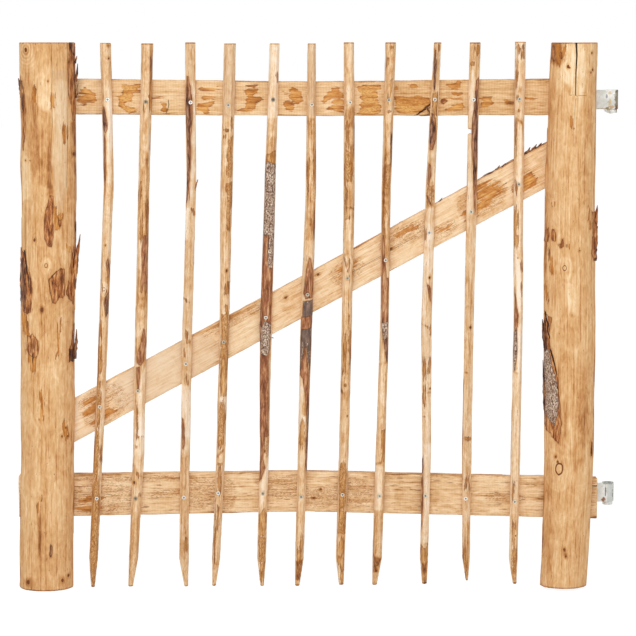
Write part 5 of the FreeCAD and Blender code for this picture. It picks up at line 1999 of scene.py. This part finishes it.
        (TAN, (0.5, 156, 0, 49, 8), (0, 812, 755, 17)),
        (BROWN, (-5.5, 857, 3.5, 850, 2.5), (4, 852, 6, 838, 3), (-6.5, 395, -1, 393, 3), (-7, 33,
         5, 28, 4.5, -1, 0.5, -1, -4.5, 12)),
        (INNER, (-7.5, 550, -4.5, 529, 0, 500, -1, 479, -7, 466, -7.5, 516)),
        (GREY, (-7.5, 469, -2.5, 476, -1, 432, -3.5, 400, -6, 395, -8, 437)),
        (STAIN, (-5.5, 989, -4.5, 974, 5), (3.5, 987, 3, 969, 3), (5.5, 976, 964, 4), (-6.5, 951,
         912, 3), (-5.5, 899, -3.5, 887, 4), (-4, 872, 0, 870, 4), (-7.5, 858, 807, 4), (-7, 744,
         -5, 724, 4), (-4.5, 695, -6, 637, 7), (-8.5, 646, -0.5, 646, 0.5, 630, -3.5, 617, -7.5,
         630), (5.5, 597, 6.5, 581, 4), (4, 557, 5.5, 531, 3), (-3.5, 190, -4.5, 161, 4), (-4.5,
         95, 1, 92, 4), (-2, 116, -1, 70, 7)),
        (FLAME, (1, 70, 30, 9)),
    ),
}

KNOTS: dict[str, tuple[Knot, ...]] = {
    "left_post": (
        Knot(-35, 987, 3.2, 2.0, 0, 9.0, ripples=6.0), Knot(-22, 645, 2.6),
        Knot(0, 599, 2.8, 1.0, 1.0), Knot(-7, 519, 3.4, 1.4), Knot(36, 301, 2, 0.4),
        Knot(33.5, 292, 2, 0.4), Knot(39.5, 285, 2, 0.4), Knot(29.5, 286, 1.8, 0.4),
        Knot(-30.5, 16, 3.2), Knot(32.5, 19, 2.8), Knot(42.5, 26, 2.4), Knot(48.5, 799, 2.6, 0.3),
        Knot(5, 931, 1.4, 0.2), Knot(-39.5, 788, 1.6, 0.2), Knot(-31, 788, 1.5, 0.2)),
    "right_post": (
        Knot(-13.5, 953, 3, 0.8), Knot(-10, 951, 1.8, 0.3), Knot(30, 977, 2.2, 0.5),
        Knot(33, 947, 2, 0.5), Knot(29.5, 942, 1.8, 0.3), Knot(-12.5, 590, 3.6, 1.4, 1.0, 4.0),
        Knot(-20.5, 222, 6.4, 1.4, 1.0, 3.0, 0.6), Knot(-23.5, 235, 1.8, 0.3),
        Knot(-27, 244, 1.6, 0.2), Knot(0.5, 842, 1.4, 0.2), Knot(-5.5, 74, 2.2, 0.4),
        Knot(-2, 61, 2.2, 0.4), Knot(14.5, 622, 1.8, 0.2)),
    "top_rail": (Knot(-23, 254, 2.4, 0.0),),
    "bottom_rail": (
        Knot(5, 556, 2.6, 0.0), Knot(-11, 543, 2.6, 0.0)),
    "brace": (
        Knot(23, 637, 2.4, 0.0), Knot(14, 565, 2.6, 0.0), Knot(1, 776, 2.6, 0.0)),
    "picket_01": (
        Knot(6, 971, 1.6, 0.2), Knot(-1, 633, 1.2, 0.2), Knot(-1, 553, 2.4, 0.8, 1.0)),
    "picket_02": (
        Knot(-5, 196, 2.4, 0.6), Knot(-0.5, 165, 1.8, 0.2)),
    "picket_04": (
        Knot(6, 664, 1.8, 0.3), Knot(3, 585, 2.2, 0.5)),
    "picket_05": (Knot(0.5, 253, 2.6, 0.4),),
    "picket_06": (
        Knot(0.5, 542, 1.8, 0.4), Knot(3.5, 488, 2, 0.6)),
    "picket_07": (
        Knot(-0.5, 582, 1.4, 0.2), Knot(-0.5, 373, 2.2, 0.8, 0.5), Knot(4.5, 316, 1.4, 0.2)),
    "picket_09": (
        Knot(2.5, 568, 2.2, 0.4), Knot(6.5, 364, 1.8, 0.2)),
    "picket_10": (Knot(2, 471, 2.4, 0.8),),
    "picket_11": (
        Knot(-5, 729, 2, 0.6, 1.0), Knot(-1.5, 604, 1.4, 0.2), Knot(2.5, 92, 1.6, 0.3)),
}

CRACKS: dict[str, tuple[Crack, ...]] = {
    "left_post": (

        Crack(((13, 995), (12, 984), (13, 946), (11, 903), (12, 858), (9, 820), (8, 744)),
              1.0, 0.8, 0.4, 0.55),
        Crack(((-42, 624), (-38, 597), (-34, 578), (-32, 560)), 3.2, 1.2),
        Crack(((18, 588), (9, 577), (5, 572), (7, 555), (12, 532)), 1.6, 0.8, 0.8, 0.7),
        Crack(((40, 997), (40, 903), (38, 800), (36, 740)), 1.0, 0.8, 0.4, 0.5)),
    "right_post": (
        Crack(((0, 997), (2, 971), (1, 942), (2, 901)), 3.4, 1.6, 2.6),
        Crack(((2, 901), (1, 872), (0, 842), (1, 812)), 1.0, 0.7, 0.4, 0.45),
        Crack(((-8, 902), (21, 901)), 1.2, 0.8, 0.4, 0.6),
        Crack(((-46, 507), (-43, 493), (-41, 487), (-42, 474), (-39, 461)), 3.0, 1.6, 1.4),
        Crack(((-37, 439), (-31, 418), (-26, 396)), 3.0, 1.2, 1.6)),
    "top_rail": (
        Crack(((-6, 259), (-14, 260), (-27, 256)), 1.6, 1.2, 0.3, 0.8),
        Crack(((-30, 710), (-23, 720), (-17, 734)), 2.0, 1.2, 0.5)),
    "bottom_rail": (Crack(((23, 1066), (23, 1049)), 2.4, 1.2, 0.6),),
    "brace": (Crack(((-3, 679), (-2, 750), (-1, 825)), 1.2, 0.8, 0.3, 0.5),),
}

SPLINTERS: dict[str, tuple[Splinter, ...]] = {
    "left_post": (
        Splinter(((-40, 22, 520), (-44, 20, 560), (-47, 16, 600), (-49.5, 13, 630)), 12, INNER),
        Splinter(((-44, 14, 505), (-48, 12, 560), (-50, 9, 600)), 8),
        Splinter(((42, 22, 540), (49, 20, 590), (54, 18, 625), (58.5, 16, 654)), 11, INNER),
        Splinter(((47, 16, 545), (52, 14, 590), (54, 12, 618)), 7),
        Splinter(((51, 16, 925), (54.5, 15, 945), (56, 15, 962)), 5),
        Splinter(((52, 12, 900), (55.5, 11, 925)), 5), Splinter(((51, 16, 962), (55, 15, 976)), 4),
        Splinter(((-46, 14, 900), (-49, 13, 922), (-51.5, 13, 936)), 6),
        Splinter(((49, 14, 425), (52, 13, 455), (53, 12, 480)), 7)),
    "right_post": (
        Splinter(((42, 16, 606), (46, 14, 650), (48, 12, 690), (49.5, 11, 702)), 9, INNER),
        Splinter(((45, 12, 600), (48, 10, 640), (49, 9, 668)), 6),
        Splinter(((44, 14, 640), (50, 13, 664)), 4),
        Splinter(((-42, 16, 300), (-47, 14, 360), (-49, 12, 420)), 7),
        Splinter(((-45, 12, 440), (-48, 11, 470), (-50, 10, 494)), 6)),
    "picket_03": (Splinter(((5, 8, 728), (9, 9, 742), (12.5, 9, 752)), 5, INNER, 0.9),),
    "picket_09": (Splinter(((-4, 9, 100), (-7, 9, 150), (-8.5, 9, 200)), 4, INNER, 0.9),),
    "brace": (
        Splinter(((34, 20, 1064), (40, 21, 1076)), 7),
        Splinter(((34, 20, 1074), (43, 21, 1086)), 8),
        Splinter(((34, 18, 1084), (42, 20, 1099)), 7),
        Splinter(((34, 20, 1097), (40, 21, 1108)), 6),
        Splinter(((33, 20, 1008), (40, 21, 1022)), 5),
        Splinter(((33, 20, 1020), (39, 21, 1033)), 4), Splinter(((33, 20, 890), (38, 21, 902)), 4),
        Splinter(((-33, 20, 500), (-41, 21, 510)), 4, INNER)),
}

PICKET_TONES = (0.2, 0.2, 0.1, 0.0, 0.0, 0.2, 0.1, 0.3, 0.1, 0.0, -0.3)

SCREW_SETS = (
    ScrewSet("picket_screws_top", Head.SUNK, -1, ZINC, 31, 3.4, 2, 30,
             (0.8, -0.5, 0.9, 0.4, -0.6, 0.3, 0.4, 0.3, 0.4, 0.6, 0.4)),
    ScrewSet("picket_screws_brace", Head.SUNK, -1, ZINC, 32, 3.4, 2, 30,
             (0.3, 0.1, 0.4, 0.2, 0.4, 0.2, 0.1, 0.3, 0.5, 0.4, 0.3)),
    ScrewSet("picket_screws_bottom", Head.SUNK, -1, ZINC, 33, 3.4, 2, 30,
             (0.7, -0.5, 0.7, 0.8, 0.1, 0.3, 0.3, 0.4, 0.3, 0.6, 0.4)),
    ScrewSet("post_screws", Head.SUNK, 1, ZINC, 34, 4.6, 2.5, 50),
    ScrewSet("strap_screws", Head.DOMED, 1, STEEL, 35, 4.5, 2.25, 18),
    ScrewSet("coach_screws", Head.COACH, 1, STEEL, 36, 6.5, 4, 54),
)

FORGINGS = (Forging("upper_strap", LEAF), Forging("lower_strap", LEAF),
            Forging("upper_hook", HOOKS), Forging("lower_hook", HOOKS))


def wooden_pieces() -> list[WoodPiece]:
    """Every wooden piece of the leaf."""
    fine = Roughness(lumps=(0.5, 15.0, 48.0), facets=(0.3, 7.0, 30.0),
                     flutes=(0.25, 4.5, 70.0), fibres=(0.12, 2.5, 12.0))
    sawn = Roughness(lumps=(0.7, 70.0, 70.0), facets=(0.5, 25.0, 25.0),
                     flutes=(0.35, 12.0, 12.0), fibres=(0.2, 5.0, 5.0))
    pieces = [WoodPiece(node, "peeled_post", "post_wood", seed, 2.2)
              for seed, node in enumerate(("left_post", "right_post"), 5)]
    for seed, (node, finish, slope) in enumerate((
            ("top_rail", "sawn_rail", 0.0), ("bottom_rail", "weathered_rail", 0.0),
            ("brace", "sawn_brace", BRACE_SLOPE)), 7):
        pieces.append(WoodPiece(node, finish, "rail_wood", seed, 2.4, Grain(slope), sawn,
                                is_board=True))
    for index, tone in enumerate(PICKET_TONES):
        pieces.append(WoodPiece(
            "picket_%02d" % (index + 1), "split_picket", "picket_wood", 20 + index, 1.5,
            roughness=fine, bark_share=0.4, ragged=0.5, softness=2.6, tone=tone, wander=0.35))
    for piece in pieces:
        piece.marks, piece.knots = MARKS[piece.node], KNOTS.get(piece.node, ())
        piece.cracks = CRACKS.get(piece.node, ())
        piece.splinters = SPLINTERS.get(piece.node, ())
    return pieces


def mount(piece: Piece, material: bpy.types.Material, body: str,
          node: str) -> None:
    """Finish a piece.

    Args:
        piece: The piece.
        material: Its material.
        body: The body that it moves with.
        node: The CAD node that it stands for.
    """
    piece.data.materials.clear()
    piece.data.materials.append(material)
    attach(piece, body)
    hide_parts(node)
    LOG.info("%s: %d faces", piece.name, len(piece.data.polygons))


def main() -> None:
    """Build every piece of the gate, then the studio round it."""
    cad_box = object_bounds()
    bpy.ops.object.select_all(action="DESELECT")
    limits = np.array(cad_box) / MM
    materials = {finish.name: finish.build() for finish in FINISHES}
    places = {screws.node: screws.places() for screws in SCREW_SETS}
    seats = [ScrewSeat(place, screws.facing) for screws in SCREW_SETS
             if screws.head is Head.SUNK for place in places[screws.node]]
    for wood in wooden_pieces():
        mount(wood.build(seats, limits), materials[wood.finish], LEAF, wood.node)
    for screws in SCREW_SETS:
        mount(screws.build(places[screws.node]), materials[screws.finish], LEAF,
              screws.node)
    for forging in FORGINGS:
        mount(forging.build(), materials[STEEL], forging.body, forging.node)
    Studio().build(limits[0][2])


if __name__ == "__main__":
    logging.basicConfig(level=logging.INFO)
    main()
